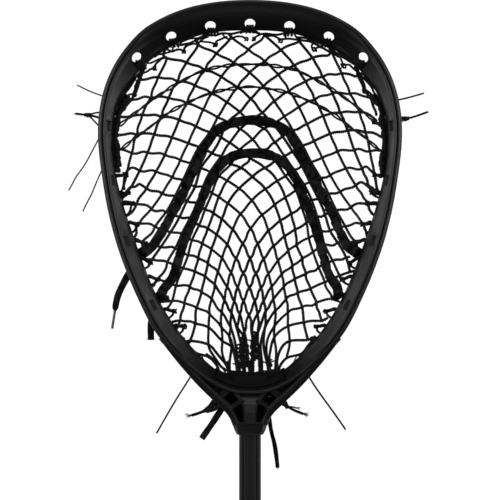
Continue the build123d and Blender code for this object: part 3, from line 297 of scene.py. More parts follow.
# The net's strands as they are seen from the front: each runs from the scoop or
# a side wall to the throat. Strands of one family cross those of the other.
STRANDS_A = {
        -5: [(355.5, 64.0), (358.5, 77.0), (362.5, 85.0), (364.8, 91.8), (369.6, 96.4), (373.5, 107.0), (375.6,
        111.3), (376.4, 116.0)],
        -4: [(331.0, 49.0), (334.0, 57.0), (341.7, 73.4), (344.0, 79.6), (348.1, 87.5), (350.1, 93.9), (353.4,
        99.1), (356.9, 106.6), (359.5, 112.1), (361.1, 118.3), (364.2, 126.2), (365.4, 132.5), (367.3, 138.0),
        (368.8, 145.7), (369.9, 151.5), (370.7, 155.7), (371.5, 160.0), (373.0, 166.0), (374.0, 172.0), (376.0,
        184.0), (377.5, 194.5)],
        -3: [(297.0, 38.0), (299.0, 41.0), (312.5, 57.9), (315.7, 63.5), (320.1, 70.9), (322.6, 76.9), (326.1,
        81.6), (330.1, 88.2), (332.6, 93.5), (335.0, 99.3), (338.4, 106.9), (340.1, 112.9), (343.0, 118.0),
        (345.7, 125.3), (347.8, 130.7), (349.6, 136.5), (352.1, 144.2), (354.2, 150.0), (356.4, 155.6), (359.5,
        163.0), (362.0, 168.5), (364.1, 174.2), (367.0, 179.5), (368.4, 185.1), (373.0, 188.5), (377.5, 194.5)],
        -2: [(264.6, 35.1), (281.0, 50.0), (285.1, 54.5), (290.6, 60.5), (294.1, 65.6), (298.0, 70.0), (302.3,
        76.5), (305.6, 81.4), (308.4, 86.8), (312.7, 93.8), (314.5, 99.8), (317.6, 104.4), (320.7, 111.0),
        (323.1, 116.0), (325.1, 121.4), (327.9, 128.5), (330.2, 133.8), (332.2, 139.2), (335.5, 146.1), (337.4,
        151.4), (339.8, 156.6), (343.2, 163.5), (345.9, 168.5), (348.7, 173.7), (352.6, 180.4), (355.7, 185.4),
        (358.2, 189.7), (361.5, 193.5), (363.4, 197.6), (366.5, 201.0), (368.4, 203.8), (368.8, 208.2), (371.0,
        212.0), (373.6, 215.1)],
        -1: [(229.0, 34.0), (231.0, 37.0), (248.4, 49.6), (253.2, 53.4), (260.3, 57.5), (264.9, 61.5), (269.3,
        65.0), (274.4, 70.5), (278.4, 74.6), (281.7, 79.4), (286.6, 85.6), (289.0, 91.1), (292.5, 95.5), (296.1,
        102.0), (298.9, 106.8), (301.4, 111.9), (304.7, 118.8), (306.9, 124.1), (309.3, 129.1), (311.8, 136.0),
        (314.2, 141.0), (316.4, 146.2), (319.9, 152.8), (322.1, 157.9), (324.4, 163.2), (327.7, 170.1), (330.3,
        175.2), (333.1, 180.2), (337.0, 186.9), (340.1, 191.7), (343.1, 196.5), (347.5, 202.7), (350.9, 207.2),
        (353.7, 211.5), (357.0, 215.5), (360.1, 220.0), (363.3, 224.5), (366.0, 232.0), (367.5, 240.0)],
        0: [(196.0, 40.5), (198.0, 44.0), (203.1, 47.7), (210.9, 50.4), (216.4, 53.4), (221.5, 56.4), (228.9,
        59.5), (233.9, 62.8), (238.9, 65.2), (245.3, 69.1), (249.7, 72.5), (254.0, 76.5), (259.7, 81.8), (263.4,
        86.4), (267.2, 90.4), (271.3, 96.5), (274.5, 101.0), (277.2, 105.7), (281.5, 111.7), (284.2, 116.5),
        (286.9, 120.5), (290.3, 126.0), (292.7, 130.3), (302.5, 145.5), (311.0, 162.0), (320.5, 177.7), (328.4,
        193.6), (336.3, 210.4), (345.2, 226.3), (350.0, 235.3), (355.5, 241.2), (360.5, 242.0)],
        1: [(163.0, 55.5), (167.0, 58.0), (172.8, 59.5), (180.8, 60.5), (186.6, 62.4), (192.2, 64.7), (200.1,
        66.8), (205.1, 70.4), (210.4, 71.4), (216.8, 74.2), (221.5, 76.7), (226.3, 80.1), (232.9, 84.1), (237.6,
        87.5), (242.0, 90.5), (247.0, 95.3), (250.8, 98.9), (254.7, 102.6), (258.7, 108.6), (262.3, 112.6),
        (273.0, 124.0), (282.7, 136.4), (292.5, 151.3), (301.8, 166.0), (309.8, 182.0), (318.3, 198.6), (325.0,
        214.6), (330.0, 230.5), (337.7, 242.7), (346.0, 257.5), (350.0, 272.0)],
        2: [(136.0, 81.5), (140.0, 80.0), (145.5, 79.4), (152.6, 77.5), (158.2, 77.3), (164.1, 78.3), (172.2,
        78.8), (177.8, 81.3), (183.2, 81.6), (190.1, 83.2), (195.0, 85.4), (200.1, 87.7), (207.2, 90.2), (211.8,
        93.5), (216.7, 95.6), (222.6, 99.4), (227.0, 102.2), (231.0, 105.0), (236.1, 108.9), (239.8, 112.0),
        (250.0, 121.0), (264.0, 128.5), (268.1, 132.0), (271.8, 138.0), (275.0, 142.3), (278.0, 146.3), (281.5,
        152.0), (284.5, 156.0), (294.0, 170.0), (304.0, 184.5), (311.6, 200.1), (317.2, 216.5), (321.4, 231.4),
        (324.7, 244.9), (332.6, 260.8), (339.6, 275.7), (345.0, 283.0)],
        3: [(126.0, 104.0), (132.0, 100.0), (137.7, 99.1), (145.1, 96.6), (151.0, 97.8), (156.3, 96.8), (163.4,
        96.8), (168.8, 97.9), (174.3, 99.3), (181.9, 100.7), (187.2, 103.3), (192.2, 104.6), (198.5, 107.4),
        (203.3, 109.5), (207.7, 111.7), (213.5, 114.8), (217.7, 117.3), (228.0, 122.0), (240.2, 129.0), (244.3,
        131.7), (249.2, 135.9), (252.5, 139.5), (255.5, 142.5), (258.7, 147.3), (262.0, 150.0), (275.0, 161.0),
        (285.5, 176.0), (295.7, 190.3), (301.3, 206.2), (306.5, 222.5), (308.8, 237.9), (313.0, 251.9), (318.6,
        267.3), (324.7, 282.3), (326.1, 287.6), (330.3, 293.6), (332.5, 298.5)],
        4: [(114.0, 119.0), (120.0, 117.0), (126.8, 116.9), (135.6, 115.2), (142.3, 114.8), (148.2, 115.2),
        (156.1, 114.9), (161.7, 116.9), (167.1, 116.8), (174.0, 118.0), (179.1, 119.8), (184.0, 122.0), (191.0,
        123.9), (195.8, 126.4), (200.0, 128.3), (205.5, 130.9), (210.0, 132.0), (221.0, 137.0), (225.3, 140.1),
        (229.8, 142.7), (234.8, 146.2), (239.5, 150.0), (250.0, 158.0), (254.5, 160.8), (260.6, 164.4), (264.7,
        167.9), (269.2, 171.1), (274.3, 176.4), (277.3, 181.0), (280.2, 185.7), (283.4, 192.3), (285.2, 197.5),
        (287.2, 202.3), (289.6, 208.9), (291.2, 213.8), (292.2, 218.6), (294.1, 224.8), (295.1, 229.5), (295.7,
        234.2), (296.6, 240.3), (296.4, 245.0), (298.1, 249.2), (300.5, 254.6), (302.5, 258.5), (302.5, 263.3),
        (304.5, 269.3), (305.7, 273.8), (306.2, 278.6), (308.8, 284.3), (310.5, 288.7), (312.1, 293.0), (314.8,
        298.5), (316.4, 302.9), (316.8, 307.7), (319.0, 312.0), (320.3, 316.9), (322.5, 321.5)],
        5: [(115.0, 136.0), (120.0, 135.0), (125.1, 134.3), (131.9, 133.3), (137.1, 134.6), (142.2, 133.5),
        (149.1, 133.4), (154.3, 134.3), (159.6, 135.5), (166.7, 135.9), (171.9, 137.4), (176.9, 139.0), (183.4,
        141.3), (188.3, 143.2), (193.6, 145.1), (199.0, 147.0), (212.0, 153.0), (216.3, 155.2), (221.0, 156.5),
        (231.0, 164.0), (236.0, 165.7), (240.9, 167.9), (244.7, 170.0), (249.1, 173.9), (252.4, 176.7), (256.4,
        180.3), (261.9, 184.9), (265.3, 189.1), (268.6, 193.4), (272.4, 199.7), (274.6, 204.7), (276.5, 209.4),
        (278.8, 215.8), (280.3, 220.7), (281.7, 225.3), (283.0, 231.6), (284.5, 236.3), (285.4, 240.6), (286.9,
        246.4), (288.2, 250.6), (289.3, 255.2), (291.4, 261.2), (292.4, 265.8), (292.5, 269.8), (293.9, 275.0),
        (294.8, 278.9), (295.4, 283.1), (297.0, 288.6), (297.7, 292.8), (298.4, 297.3), (300.6, 302.8), (302.1,
        307.0), (302.8, 311.6), (303.4, 317.7), (303.7, 322.4), (307.9, 339.8)],
        6: [(118.0, 149.0), (125.0, 150.3), (131.8, 153.0), (136.6, 153.5), (142.8, 151.7), (147.6, 152.5),
        (152.8, 153.4), (159.8, 153.1), (164.9, 154.7), (169.4, 156.5), (175.9, 157.9), (180.3, 160.0), (185.4,
        161.8), (190.5, 163.5), (201.0, 168.0), (205.6, 169.8), (210.0, 172.0), (219.0, 176.0), (223.1, 178.3),
        (227.2, 180.6), (230.8, 182.8), (235.6, 186.0), (239.0, 188.5), (243.3, 191.6), (248.1, 196.7), (251.9,
        200.4), (255.1, 204.7), (258.8, 210.7), (262.0, 214.9), (264.5, 219.3), (266.7, 225.8), (268.4, 230.6),
        (270.2, 235.1), (271.9, 241.4), (273.6, 246.0), (275.1, 250.4), (276.4, 256.4), (277.9, 260.8), (279.2,
        264.9), (280.7, 270.3), (281.5, 274.5), (283.3, 280.6), (283.7, 286.9), (285.0, 293.2), (285.9, 299.5),
        (287.4, 303.4), (287.7, 308.7), (287.7, 312.8), (288.0, 316.8), (287.8, 322.2), (288.1, 326.2), (289.6,
        341.1), (288.5, 350.0), (286.5, 357.0)],
        7: [(114.5, 174.8), (124.0, 174.4), (128.0, 170.0), (133.0, 167.6), (139.7, 170.6), (144.5, 171.4),
        (151.2, 170.2), (156.1, 171.4), (160.9, 173.4), (167.6, 175.0), (172.3, 177.3), (177.6, 178.9), (183.0,
        180.0), (195.0, 186.6), (199.0, 186.6), (203.0, 187.0), (212.0, 193.0), (218.8, 196.6), (223.2, 200.2),
        (228.0, 203.3), (231.8, 206.4), (236.9, 210.7), (240.5, 214.0), (244.0, 218.0), (247.5, 224.3), (250.7,
        228.5), (253.3, 232.9), (255.4, 239.4), (257.7, 244.0), (259.6, 248.5), (261.6, 254.7), (263.6, 259.2),
        (265.2, 263.5), (266.7, 269.5), (268.3, 273.8), (269.5, 277.7), (270.8, 282.9), (271.6, 286.8), (272.7,
        293.0), (273.3, 299.2), (274.5, 304.9), (275.2, 310.6), (275.6, 315.3), (274.9, 321.6), (274.4, 326.3),
        (274.2, 337.5), (276.0, 350.0), (275.6, 362.0), (275.0, 373.0)],
        8: [(121.0, 197.5), (127.0, 191.0), (131.0, 187.0), (135.4, 186.6), (139.0, 184.0), (142.9, 185.9),
        (146.6, 188.2), (151.0, 190.7), (157.8, 191.3), (162.3, 193.4), (168.5, 195.4), (175.0, 196.0), (187.0,
        201.0), (191.9, 202.5), (197.0, 203.0), (205.0, 209.5), (209.5, 210.7), (213.4, 213.1), (217.5, 216.0),
        (221.7, 218.9), (225.1, 221.9), (229.3, 226.3), (232.7, 229.3), (235.9, 233.5), (239.5, 239.4), (242.7,
        243.6), (245.4, 247.9), (247.6, 254.3), (250.0, 258.8), (252.0, 263.2), (253.6, 269.5), (255.9, 273.7),
        (258.0, 277.8), (259.6, 283.7), (260.9, 288.0), (262.3, 291.8), (262.9, 297.2), (263.5, 301.2), (265.0,
        306.2), (265.5, 311.4), (265.5, 316.4), (265.6, 323.2), (264.8, 328.2), (263.5, 345.0), (265.5, 357.0),
        (269.0, 373.0)],
        9: [(120.0, 202.3), (128.0, 201.8), (136.6, 203.9), (141.4, 204.4), (147.5, 205.6), (151.4, 208.8),
        (155.5, 211.1), (161.8, 210.4), (166.0, 212.0), (179.5, 217.0), (184.7, 218.2), (190.0, 218.0), (199.0,
        225.5), (203.5, 226.5), (207.7, 228.4), (212.2, 231.4), (216.6, 234.5), (219.9, 237.3), (224.1, 241.2),
        (227.1, 244.3), (229.9, 248.4), (232.8, 254.5), (236.0, 258.4), (238.8, 262.6), (240.6, 269.0), (243.3,
        273.2), (245.7, 277.3), (247.0, 283.5), (249.4, 287.5), (251.2, 291.5), (252.9, 297.1), (254.7, 301.1),
        (256.3, 307.4), (257.5, 313.7), (258.0, 317.7), (258.7, 323.0), (258.3, 327.0), (257.6, 340.0), (259.0,
        353.0), (261.0, 373.0)],
        10: [(126.0, 221.6), (139.0, 223.5), (144.0, 223.5), (150.6, 224.0), (155.0, 226.7), (170.7, 232.0),
        (176.3, 232.6), (181.9, 233.7), (192.0, 240.0), (197.4, 241.1), (202.3, 243.6), (206.9, 246.1), (211.3,
        249.0), (214.6, 251.6), (218.9, 255.2), (222.0, 258.1), (224.9, 262.3), (228.1, 268.2), (231.0, 272.3),
        (233.2, 276.7), (235.1, 283.1), (237.6, 287.4), (239.6, 291.4), (241.2, 297.3), (243.5, 301.2), (245.3,
        305.3), (246.7, 311.2), (248.9, 315.1), (251.1, 320.9), (251.0, 327.0), (252.4, 341.0), (252.0, 356.0),
        (252.5, 373.0)],
        11: [(131.0, 240.3), (142.3, 242.4), (160.9, 246.8), (165.2, 247.4), (171.1, 246.8), (175.3, 248.2),
        (188.0, 255.0), (193.5, 255.7), (198.3, 258.2), (203.2, 260.4), (207.9, 263.1), (210.7, 265.9), (215.2,
        268.7), (217.8, 271.8), (220.7, 276.2), (224.1, 282.4), (227.1, 286.8), (229.8, 290.9), (231.9, 297.1),
        (234.2, 301.4), (236.4, 305.0), (237.5, 310.5), (239.7, 314.0), (243.0, 327.0), (246.0, 340.0), (246.5,
        355.0), (250.0, 373.0)],
        12: [(145.0, 259.3), (152.0, 259.5), (156.6, 260.4), (162.9, 260.7), (167.4, 262.0), (183.0, 268.0),
        (188.9, 269.5), (194.7, 271.4), (199.8, 273.8), (204.9, 276.1), (209.6, 280.4), (214.7, 284.3), (217.5,
        289.1), (221.6, 295.2), (224.4, 300.1), (226.6, 303.8), (228.7, 309.3), (231.4, 312.9), (236.4, 327.0),
        (240.2, 341.0), (243.3, 355.0), (245.0, 373.0)],
        13: [(147.0, 276.5), (157.5, 278.9), (176.0, 285.5), (180.1, 285.6), (185.7, 285.2), (189.7, 286.5),
        (193.0, 288.8), (198.2, 289.9), (201.5, 292.1), (206.8, 295.1), (211.6, 298.9), (214.5, 303.1), (217.9,
        308.9), (221.7, 312.3), (224.9, 316.6), (228.1, 323.0), (230.7, 327.7), (234.5, 340.0), (236.6, 355.0),
        (237.4, 373.0)],
        14: [(160.0, 302.0), (172.0, 301.0), (178.4, 301.1), (184.5, 303.1), (190.7, 305.0), (196.6, 307.5),
        (200.6, 309.3), (206.2, 311.2), (209.6, 314.0), (213.3, 317.9), (218.3, 322.9), (221.4, 327.3), (229.4,
        336.4), (233.6, 350.0), (236.6, 362.0), (238.0, 373.0)],
        15: [(172.0, 322.0), (180.0, 320.5), (184.6, 321.2), (190.9, 321.5), (195.3, 323.4), (208.6, 327.4),
        (222.3, 341.0), (231.3, 346.4), (234.5, 356.0), (236.8, 368.0), (237.0, 374.0)],
        16: [(184.0, 342.0), (190.0, 341.0), (208.4, 344.6), (215.0, 351.0), (221.5, 359.0), (226.5, 365.8),
        (229.3, 373.0)],
}

STRANDS_B = {
    -2: [(146.0, 64.0), (140.0, 80.0), (134.5, 95.0), (124.0, 108.5), (118.0, 118.0)],
        -1: [(167.0, 58.0), (164.9, 64.0), (161.0, 71.6), (158.2, 77.3), (155.8, 83.4), (152.2, 91.3), (151.0,
        97.8), (147.8, 102.6), (144.4, 109.4), (142.3, 114.8), (140.6, 120.7), (137.7, 128.4), (137.1, 134.6),
        (134.5, 139.9), (133.2, 147.5), (131.8, 153.0), (130.5, 157.5), (128.9, 163.5), (128.0, 168.0), (125.0,
        181.0), (123.8, 185.4), (124.5, 190.0)],
        0: [(196.0, 40.5), (198.0, 44.0), (195.4, 50.1), (190.2, 57.0), (186.6, 62.4), (183.4, 67.9), (179.5,
        75.3), (177.8, 81.3), (174.2, 85.8), (171.0, 92.6), (168.8, 97.9), (166.5, 103.5), (162.9, 110.9),
        (161.7, 116.9), (158.6, 121.8), (156.0, 128.9), (154.3, 134.3), (152.1, 139.7), (149.8, 147.1), (147.6,
        152.5), (145.4, 158.0), (142.2, 165.2), (139.7, 170.6), (137.2, 175.6), (133.8, 182.2), (131.0, 187.0),
        (124.0, 196.0), (121.0, 201.0)],
        1: [(229.0, 34.0), (231.0, 37.0), (216.4, 53.4), (212.8, 58.4), (207.3, 64.6), (205.1, 70.4), (201.2,
        74.4), (197.5, 80.6), (195.0, 85.4), (192.4, 90.7), (188.6, 97.6), (187.2, 103.3), (184.2, 108.0),
        (181.0, 114.6), (179.1, 119.8), (177.1, 125.2), (174.2, 132.2), (171.9, 137.4), (170.0, 142.7), (166.8,
        149.5), (164.9, 154.7), (162.4, 159.8), (158.9, 166.5), (156.1, 171.4), (153.4, 176.6), (149.2, 183.0),
        (146.6, 188.2), (143.4, 192.8), (138.7, 198.6), (136.6, 203.9), (132.0, 212.0), (125.3, 216.4)],
        2: [(264.6, 35.1), (260.7, 40.5), (253.2, 45.1), (248.4, 49.6), (244.2, 53.7), (237.6, 58.1), (233.9,
        62.8), (229.7, 66.6), (224.8, 72.1), (221.5, 76.7), (218.5, 81.6), (214.6, 88.3), (211.8, 93.5), (208.7,
        98.0), (205.7, 104.6), (203.3, 109.5), (200.9, 114.5), (198.2, 121.4), (195.8, 126.4), (193.3, 131.4),
        (190.3, 138.1), (188.3, 143.2), (185.7, 148.2), (182.5, 154.9), (180.3, 160.0), (178.1, 165.3), (174.5,
        172.0), (172.3, 177.3), (169.1, 182.0), (165.1, 188.5), (162.3, 193.4), (159.2, 198.1), (154.9, 204.3),
        (151.4, 208.8), (147.6, 213.1), (142.3, 218.7), (139.0, 223.5), (136.4, 227.9), (136.5, 233.0), (132.0,
        240.0)],
        3: [(297.0, 38.0), (299.0, 41.0), (293.7, 43.9), (286.1, 46.7), (281.0, 50.0), (276.1, 53.3), (269.1,
        57.2), (264.9, 61.5), (260.0, 64.3), (253.9, 68.7), (249.7, 72.5), (245.9, 76.9), (240.5, 82.4), (237.6,
        87.5), (234.0, 91.6), (230.0, 97.7), (227.0, 102.2), (224.1, 106.7), (220.7, 112.9), (217.7, 117.3),
        (210.0, 132.0), (199.0, 147.0), (190.5, 163.5), (183.0, 180.0), (175.0, 196.0), (166.0, 212.0), (155.0,
        226.7), (152.3, 232.3), (146.3, 237.8), (142.3, 242.4), (142.7, 247.7), (142.5, 253.0)],
        4: [(331.0, 49.0), (329.0, 55.0), (324.0, 55.7), (317.4, 56.4), (312.5, 57.9), (307.1, 60.4), (299.4,
        62.7), (294.1, 65.6), (289.1, 67.8), (282.8, 71.4), (278.4, 74.6), (273.7, 78.0), (267.5, 82.4), (263.4,
        86.4), (259.2, 89.7), (254.5, 95.0), (250.8, 98.9), (247.4, 102.7), (243.3, 108.2), (239.8, 112.0),
        (228.0, 122.0), (221.0, 137.0), (212.0, 153.0), (201.0, 168.0), (195.0, 186.6), (187.0, 201.0), (179.5,
        217.0), (170.7, 232.0), (160.9, 246.8), (152.0, 259.5), (148.0, 266.0)],
        5: [(358.0, 72.0), (356.0, 76.5), (351.8, 75.0), (346.1, 73.7), (341.7, 73.4), (336.0, 74.6), (328.1,
        74.4), (322.6, 76.9), (317.3, 77.6), (310.4, 79.1), (305.6, 81.4), (300.5, 84.1), (293.7, 87.6), (289.0,
        91.1), (284.3, 93.5), (278.7, 97.9), (274.5, 101.0), (270.7, 104.3), (266.1, 109.3), (262.3, 112.6),
        (250.0, 121.0), (240.2, 129.0), (236.9, 133.0), (232.8, 138.5), (229.8, 142.7), (226.7, 146.6), (223.5,
        152.3), (221.0, 156.5), (210.0, 172.0), (203.0, 187.0), (197.0, 203.0), (190.0, 218.0), (181.9, 233.7),
        (175.3, 248.2), (167.4, 262.0), (166.0, 268.0), (161.7, 274.6), (157.5, 278.9), (153.0, 287.0)],
        6: [(371.0, 98.0), (364.8, 96.5), (360.5, 95.1), (354.7, 93.3), (350.1, 93.9), (344.8, 93.6), (337.8,
        92.6), (332.6, 93.5), (327.1, 95.2), (319.4, 96.6), (314.5, 99.8), (309.4, 101.0), (303.3, 104.2),
        (298.9, 106.8), (294.6, 109.9), (288.7, 113.7), (284.2, 116.5), (273.0, 124.0), (264.0, 128.5), (260.1,
        131.4), (255.8, 136.1), (252.5, 139.5), (239.5, 150.0), (231.0, 164.0), (219.0, 176.0), (212.0, 193.0),
        (205.0, 209.5), (199.0, 225.5), (192.0, 240.0), (188.0, 255.0), (183.0, 268.0), (176.0, 285.5), (172.0,
        301.0), (166.0, 310.0)],
        7: [(377.0, 121.0), (368.0, 114.0), (363.9, 112.6), (359.5, 112.1), (353.7, 112.2), (345.9, 111.7),
        (340.1, 112.9), (334.9, 112.8), (328.1, 114.5), (323.1, 116.0), (318.2, 118.2), (311.7, 121.5), (306.9,
        124.1), (302.7, 126.1), (297.4, 129.3), (292.7, 130.3), (282.7, 136.4), (278.8, 139.4), (275.0, 142.3),
        (271.2, 144.8), (266.8, 149.2), (262.0, 150.0), (250.0, 158.0), (248.3, 161.9), (243.8, 165.0), (240.9,
        167.9), (236.1, 171.0), (230.6, 176.1), (227.2, 180.6), (224.1, 185.2), (221.1, 191.8), (218.8, 196.6),
        (217.0, 201.5), (214.8, 208.1), (213.4, 213.1), (211.8, 217.8), (209.6, 223.9), (207.7, 228.4), (206.3,
        233.0), (203.7, 239.0), (202.3, 243.6), (200.9, 247.9), (199.0, 253.7), (198.3, 258.2), (197.4, 262.2),
        (195.6, 267.4), (194.7, 271.4), (193.7, 276.1), (191.4, 282.1), (189.7, 286.5), (188.4, 291.6), (185.5,
        297.9), (184.5, 303.1), (183.4, 308.3), (180.8, 315.1), (180.0, 320.5), (176.0, 330.0)],
        8: [(381.0, 137.0), (376.0, 134.0), (370.8, 132.5), (365.4, 132.5), (360.2, 130.9), (353.2, 130.2),
        (347.8, 130.7), (342.6, 131.8), (335.4, 132.3), (330.2, 133.8), (325.3, 135.8), (318.9, 138.7), (314.2,
        141.0), (308.5, 143.7), (302.5, 145.5), (292.5, 151.3), (288.6, 153.9), (284.5, 156.0), (275.0, 161.0),
        (270.1, 164.9), (264.7, 167.9), (260.7, 170.1), (255.8, 173.6), (252.4, 176.7), (248.3, 180.1), (242.9,
        184.8), (239.0, 188.5), (235.2, 192.6), (230.8, 198.5), (228.0, 203.3), (225.9, 207.9), (223.8, 214.3),
        (221.7, 218.9), (220.4, 223.7), (218.4, 229.9), (216.6, 234.5), (215.2, 238.9), (213.1, 244.7), (211.3,
        249.0), (210.5, 253.3), (208.7, 258.8), (207.9, 263.1), (207.2, 267.0), (206.0, 272.2), (204.9, 276.1),
        (204.1, 280.9), (202.3, 287.3), (201.5, 292.1), (200.2, 296.8), (198.3, 302.9), (196.6, 307.5), (195.6,
        312.2), (195.5, 318.6), (195.3, 323.4), (190.0, 341.0), (186.0, 347.0)],
        9: [(381.0, 151.0), (375.4, 150.3), (369.9, 151.5), (365.2, 151.2), (359.1, 149.0), (354.2, 150.0),
        (349.2, 150.6), (342.4, 150.0), (337.4, 151.4), (332.9, 153.6), (326.6, 155.8), (322.1, 157.9), (316.6,
        160.2), (311.0, 162.0), (301.8, 166.0), (298.2, 168.6), (294.0, 170.0), (285.5, 176.0), (281.4, 178.5),
        (277.3, 181.0), (273.6, 183.2), (269.0, 186.8), (265.3, 189.1), (260.9, 192.0), (255.5, 196.6), (251.9,
        200.4), (248.3, 204.4), (244.1, 210.1), (240.5, 214.0), (237.6, 218.3), (234.8, 224.6), (232.7, 229.3),
        (230.8, 233.7), (228.9, 239.9), (227.1, 244.3), (225.3, 248.4), (223.3, 253.9), (222.0, 258.1), (220.5,
        262.2), (219.2, 267.8), (217.8, 271.8), (216.0, 278.0), (214.7, 284.3), (214.4, 288.8), (212.7, 294.6),
        (211.6, 298.9), (210.4, 303.4), (209.2, 309.4), (209.6, 314.0), (209.1, 318.0), (208.7, 323.4), (208.6,
        327.4), (208.4, 344.6), (211.0, 352.0), (217.0, 361.0), (222.0, 368.0)],
        10: [(382.0, 177.5), (376.6, 175.2), (371.0, 171.0), (366.0, 166.6), (362.0, 168.5), (357.2, 169.5),
        (350.7, 167.9), (345.9, 168.5), (341.2, 170.3), (334.8, 172.6), (330.3, 175.2), (325.7, 177.6), (320.5,
        177.7), (309.8, 182.0), (304.0, 184.5), (295.7, 190.3), (290.6, 194.1), (285.2, 197.5), (279.8, 200.9),
        (274.6, 204.7), (271.0, 207.9), (265.9, 212.0), (262.0, 214.9), (258.2, 218.6), (253.9, 224.3), (250.7,
        228.5), (247.8, 232.8), (245.6, 239.4), (242.7, 243.6), (240.5, 247.9), (238.2, 254.0), (236.0, 258.4),
        (234.3, 262.5), (232.7, 268.2), (231.0, 272.3), (229.2, 276.5), (228.1, 282.4), (227.1, 286.8), (225.7,
        290.7), (225.0, 296.0), (224.4, 300.1), (222.6, 306.1), (221.7, 312.3), (221.0, 316.8), (220.9, 322.8),
        (221.4, 327.3), (222.3, 341.0), (222.0, 352.0), (226.5, 365.8)],
        11: [(377.5, 194.5), (374.0, 192.4), (371.0, 189.5), (365.5, 184.5), (360.5, 182.3), (355.7, 185.4),
        (351.2, 187.8), (344.5, 189.3), (340.1, 191.7), (334.4, 193.6), (328.4, 193.6), (318.3, 198.6), (311.6,
        200.1), (301.3, 206.2), (296.8, 210.8), (291.2, 213.8), (285.9, 217.4), (280.3, 220.7), (276.6, 223.5),
        (272.1, 227.7), (268.4, 230.6), (265.1, 234.5), (261.1, 240.1), (257.7, 244.0), (254.9, 248.2), (252.9,
        254.6), (250.0, 258.8), (247.8, 263.0), (245.9, 269.1), (243.3, 273.2), (241.0, 277.2), (239.2, 283.1),
        (237.6, 287.4), (236.0, 291.4), (235.0, 297.2), (234.2, 301.4), (232.3, 307.0), (231.4, 312.9), (231.0,
        317.3), (230.3, 323.2), (230.7, 327.7), (229.4, 336.4), (231.3, 346.4), (230.0, 358.0), (229.6, 373.0)],
        12: [(377.3, 202.8), (372.0, 202.6), (368.4, 203.8), (361.0, 203.4), (355.5, 204.2), (350.9, 207.2),
        (346.8, 209.6), (340.7, 209.6), (336.3, 210.4), (325.0, 214.6), (321.4, 216.7), (317.2, 216.5), (306.5,
        222.5), (303.4, 225.1), (298.8, 227.9), (295.1, 229.5), (289.8, 232.9), (284.5, 236.3), (281.1, 239.0),
        (277.0, 243.2), (273.6, 246.0), (270.1, 249.6), (266.7, 255.3), (263.6, 259.2), (260.7, 263.3), (258.7,
        269.6), (255.9, 273.7), (253.4, 277.6), (251.9, 283.7), (249.4, 287.5), (247.1, 291.4), (245.4, 297.2),
        (243.5, 301.2), (241.8, 304.9), (241.1, 310.2), (239.7, 314.0), (238.9, 318.0), (238.0, 323.4), (237.5,
        327.5), (242.9, 335.3), (243.6, 350.0), (241.6, 360.0), (239.0, 373.0)],
        13: [(371.5, 223.3), (363.3, 224.5), (356.0, 222.9), (350.7, 225.1), (345.2, 226.3), (330.0, 230.5),
        (325.8, 231.7), (321.4, 231.4), (308.8, 237.9), (304.8, 239.5), (299.9, 242.4), (296.4, 245.0), (292.2,
        247.6), (288.2, 250.6), (285.3, 253.8), (280.9, 257.6), (277.9, 260.8), (274.9, 264.6), (271.4, 270.0),
        (268.3, 273.8), (265.6, 277.8), (263.7, 284.0), (260.9, 288.0), (258.5, 291.7), (257.1, 297.4), (254.7,
        301.1), (252.8, 305.2), (251.2, 311.1), (248.9, 315.1), (247.1, 318.8), (245.9, 323.9), (246.0, 328.0),
        (242.9, 335.3), (240.6, 345.0), (240.4, 356.0), (244.0, 373.0)],
        14: [(367.0, 240.5), (355.5, 241.2), (346.0, 243.0), (337.7, 242.7), (334.1, 245.1), (328.8, 245.2),
        (324.7, 244.9), (313.0, 251.9), (307.9, 255.4), (302.5, 258.5), (297.7, 262.5), (292.4, 265.8), (289.3,
        268.6), (284.4, 271.4), (281.5, 274.5), (278.4, 278.1), (274.7, 283.2), (271.6, 286.8), (268.6, 290.8),
        (265.8, 296.8), (263.5, 301.2), (261.2, 304.7), (259.9, 310.2), (257.5, 313.7), (252.2, 328.0), (253.6,
        342.0), (252.5, 356.0), (251.0, 373.0)],
        15: [(350.0, 257.0), (346.0, 257.5), (342.2, 259.5), (336.6, 259.6), (332.6, 260.8), (318.6, 267.3),
        (315.4, 270.5), (309.5, 271.7), (305.7, 273.8), (300.2, 276.4), (294.8, 278.9), (291.3, 281.1), (286.5,
        283.7), (283.7, 286.9), (280.5, 290.4), (276.3, 295.4), (273.3, 299.2), (270.8, 302.8), (268.3, 308.1),
        (265.5, 311.4), (259.6, 328.0), (254.6, 344.0), (259.5, 358.0), (261.0, 373.0)],
        16: [(356.0, 270.5), (350.0, 272.0), (339.6, 275.7), (324.7, 282.3), (320.3, 284.0), (314.6, 286.6),
        (310.5, 288.7), (306.7, 290.1), (301.4, 291.4), (297.7, 292.8), (294.0, 294.7), (288.7, 296.3), (285.9,
        299.5), (282.8, 303.0), (278.8, 307.7), (275.2, 310.6), (271.5, 315.6), (267.4, 322.6), (264.8, 328.2),
        (260.6, 344.0), (261.5, 358.0), (262.0, 373.0)],
        17: [(338.0, 296.0), (332.5, 298.5), (327.5, 299.2), (321.1, 301.0), (316.4, 302.9), (312.5, 305.5),
        (306.4, 305.6), (302.1, 307.0), (297.7, 308.6), (291.5, 309.7), (287.7, 312.8), (283.3, 316.4), (278.0,
        321.8), (274.4, 326.3), (268.3, 337.0), (266.4, 352.0), (269.5, 373.0)],
        18: [(328.0, 317.5), (322.5, 320.6), (316.8, 320.9), (309.3, 321.2), (303.7, 322.4), (288.1, 326.2),
        (274.2, 337.5), (270.6, 349.0), (269.0, 362.0), (270.6, 373.0)],
    19: [(313.0, 336.5), (307.9, 339.8), (289.6, 341.1), (280.5, 349.5), (277.0, 361.0), (277.5, 373.0)],
}


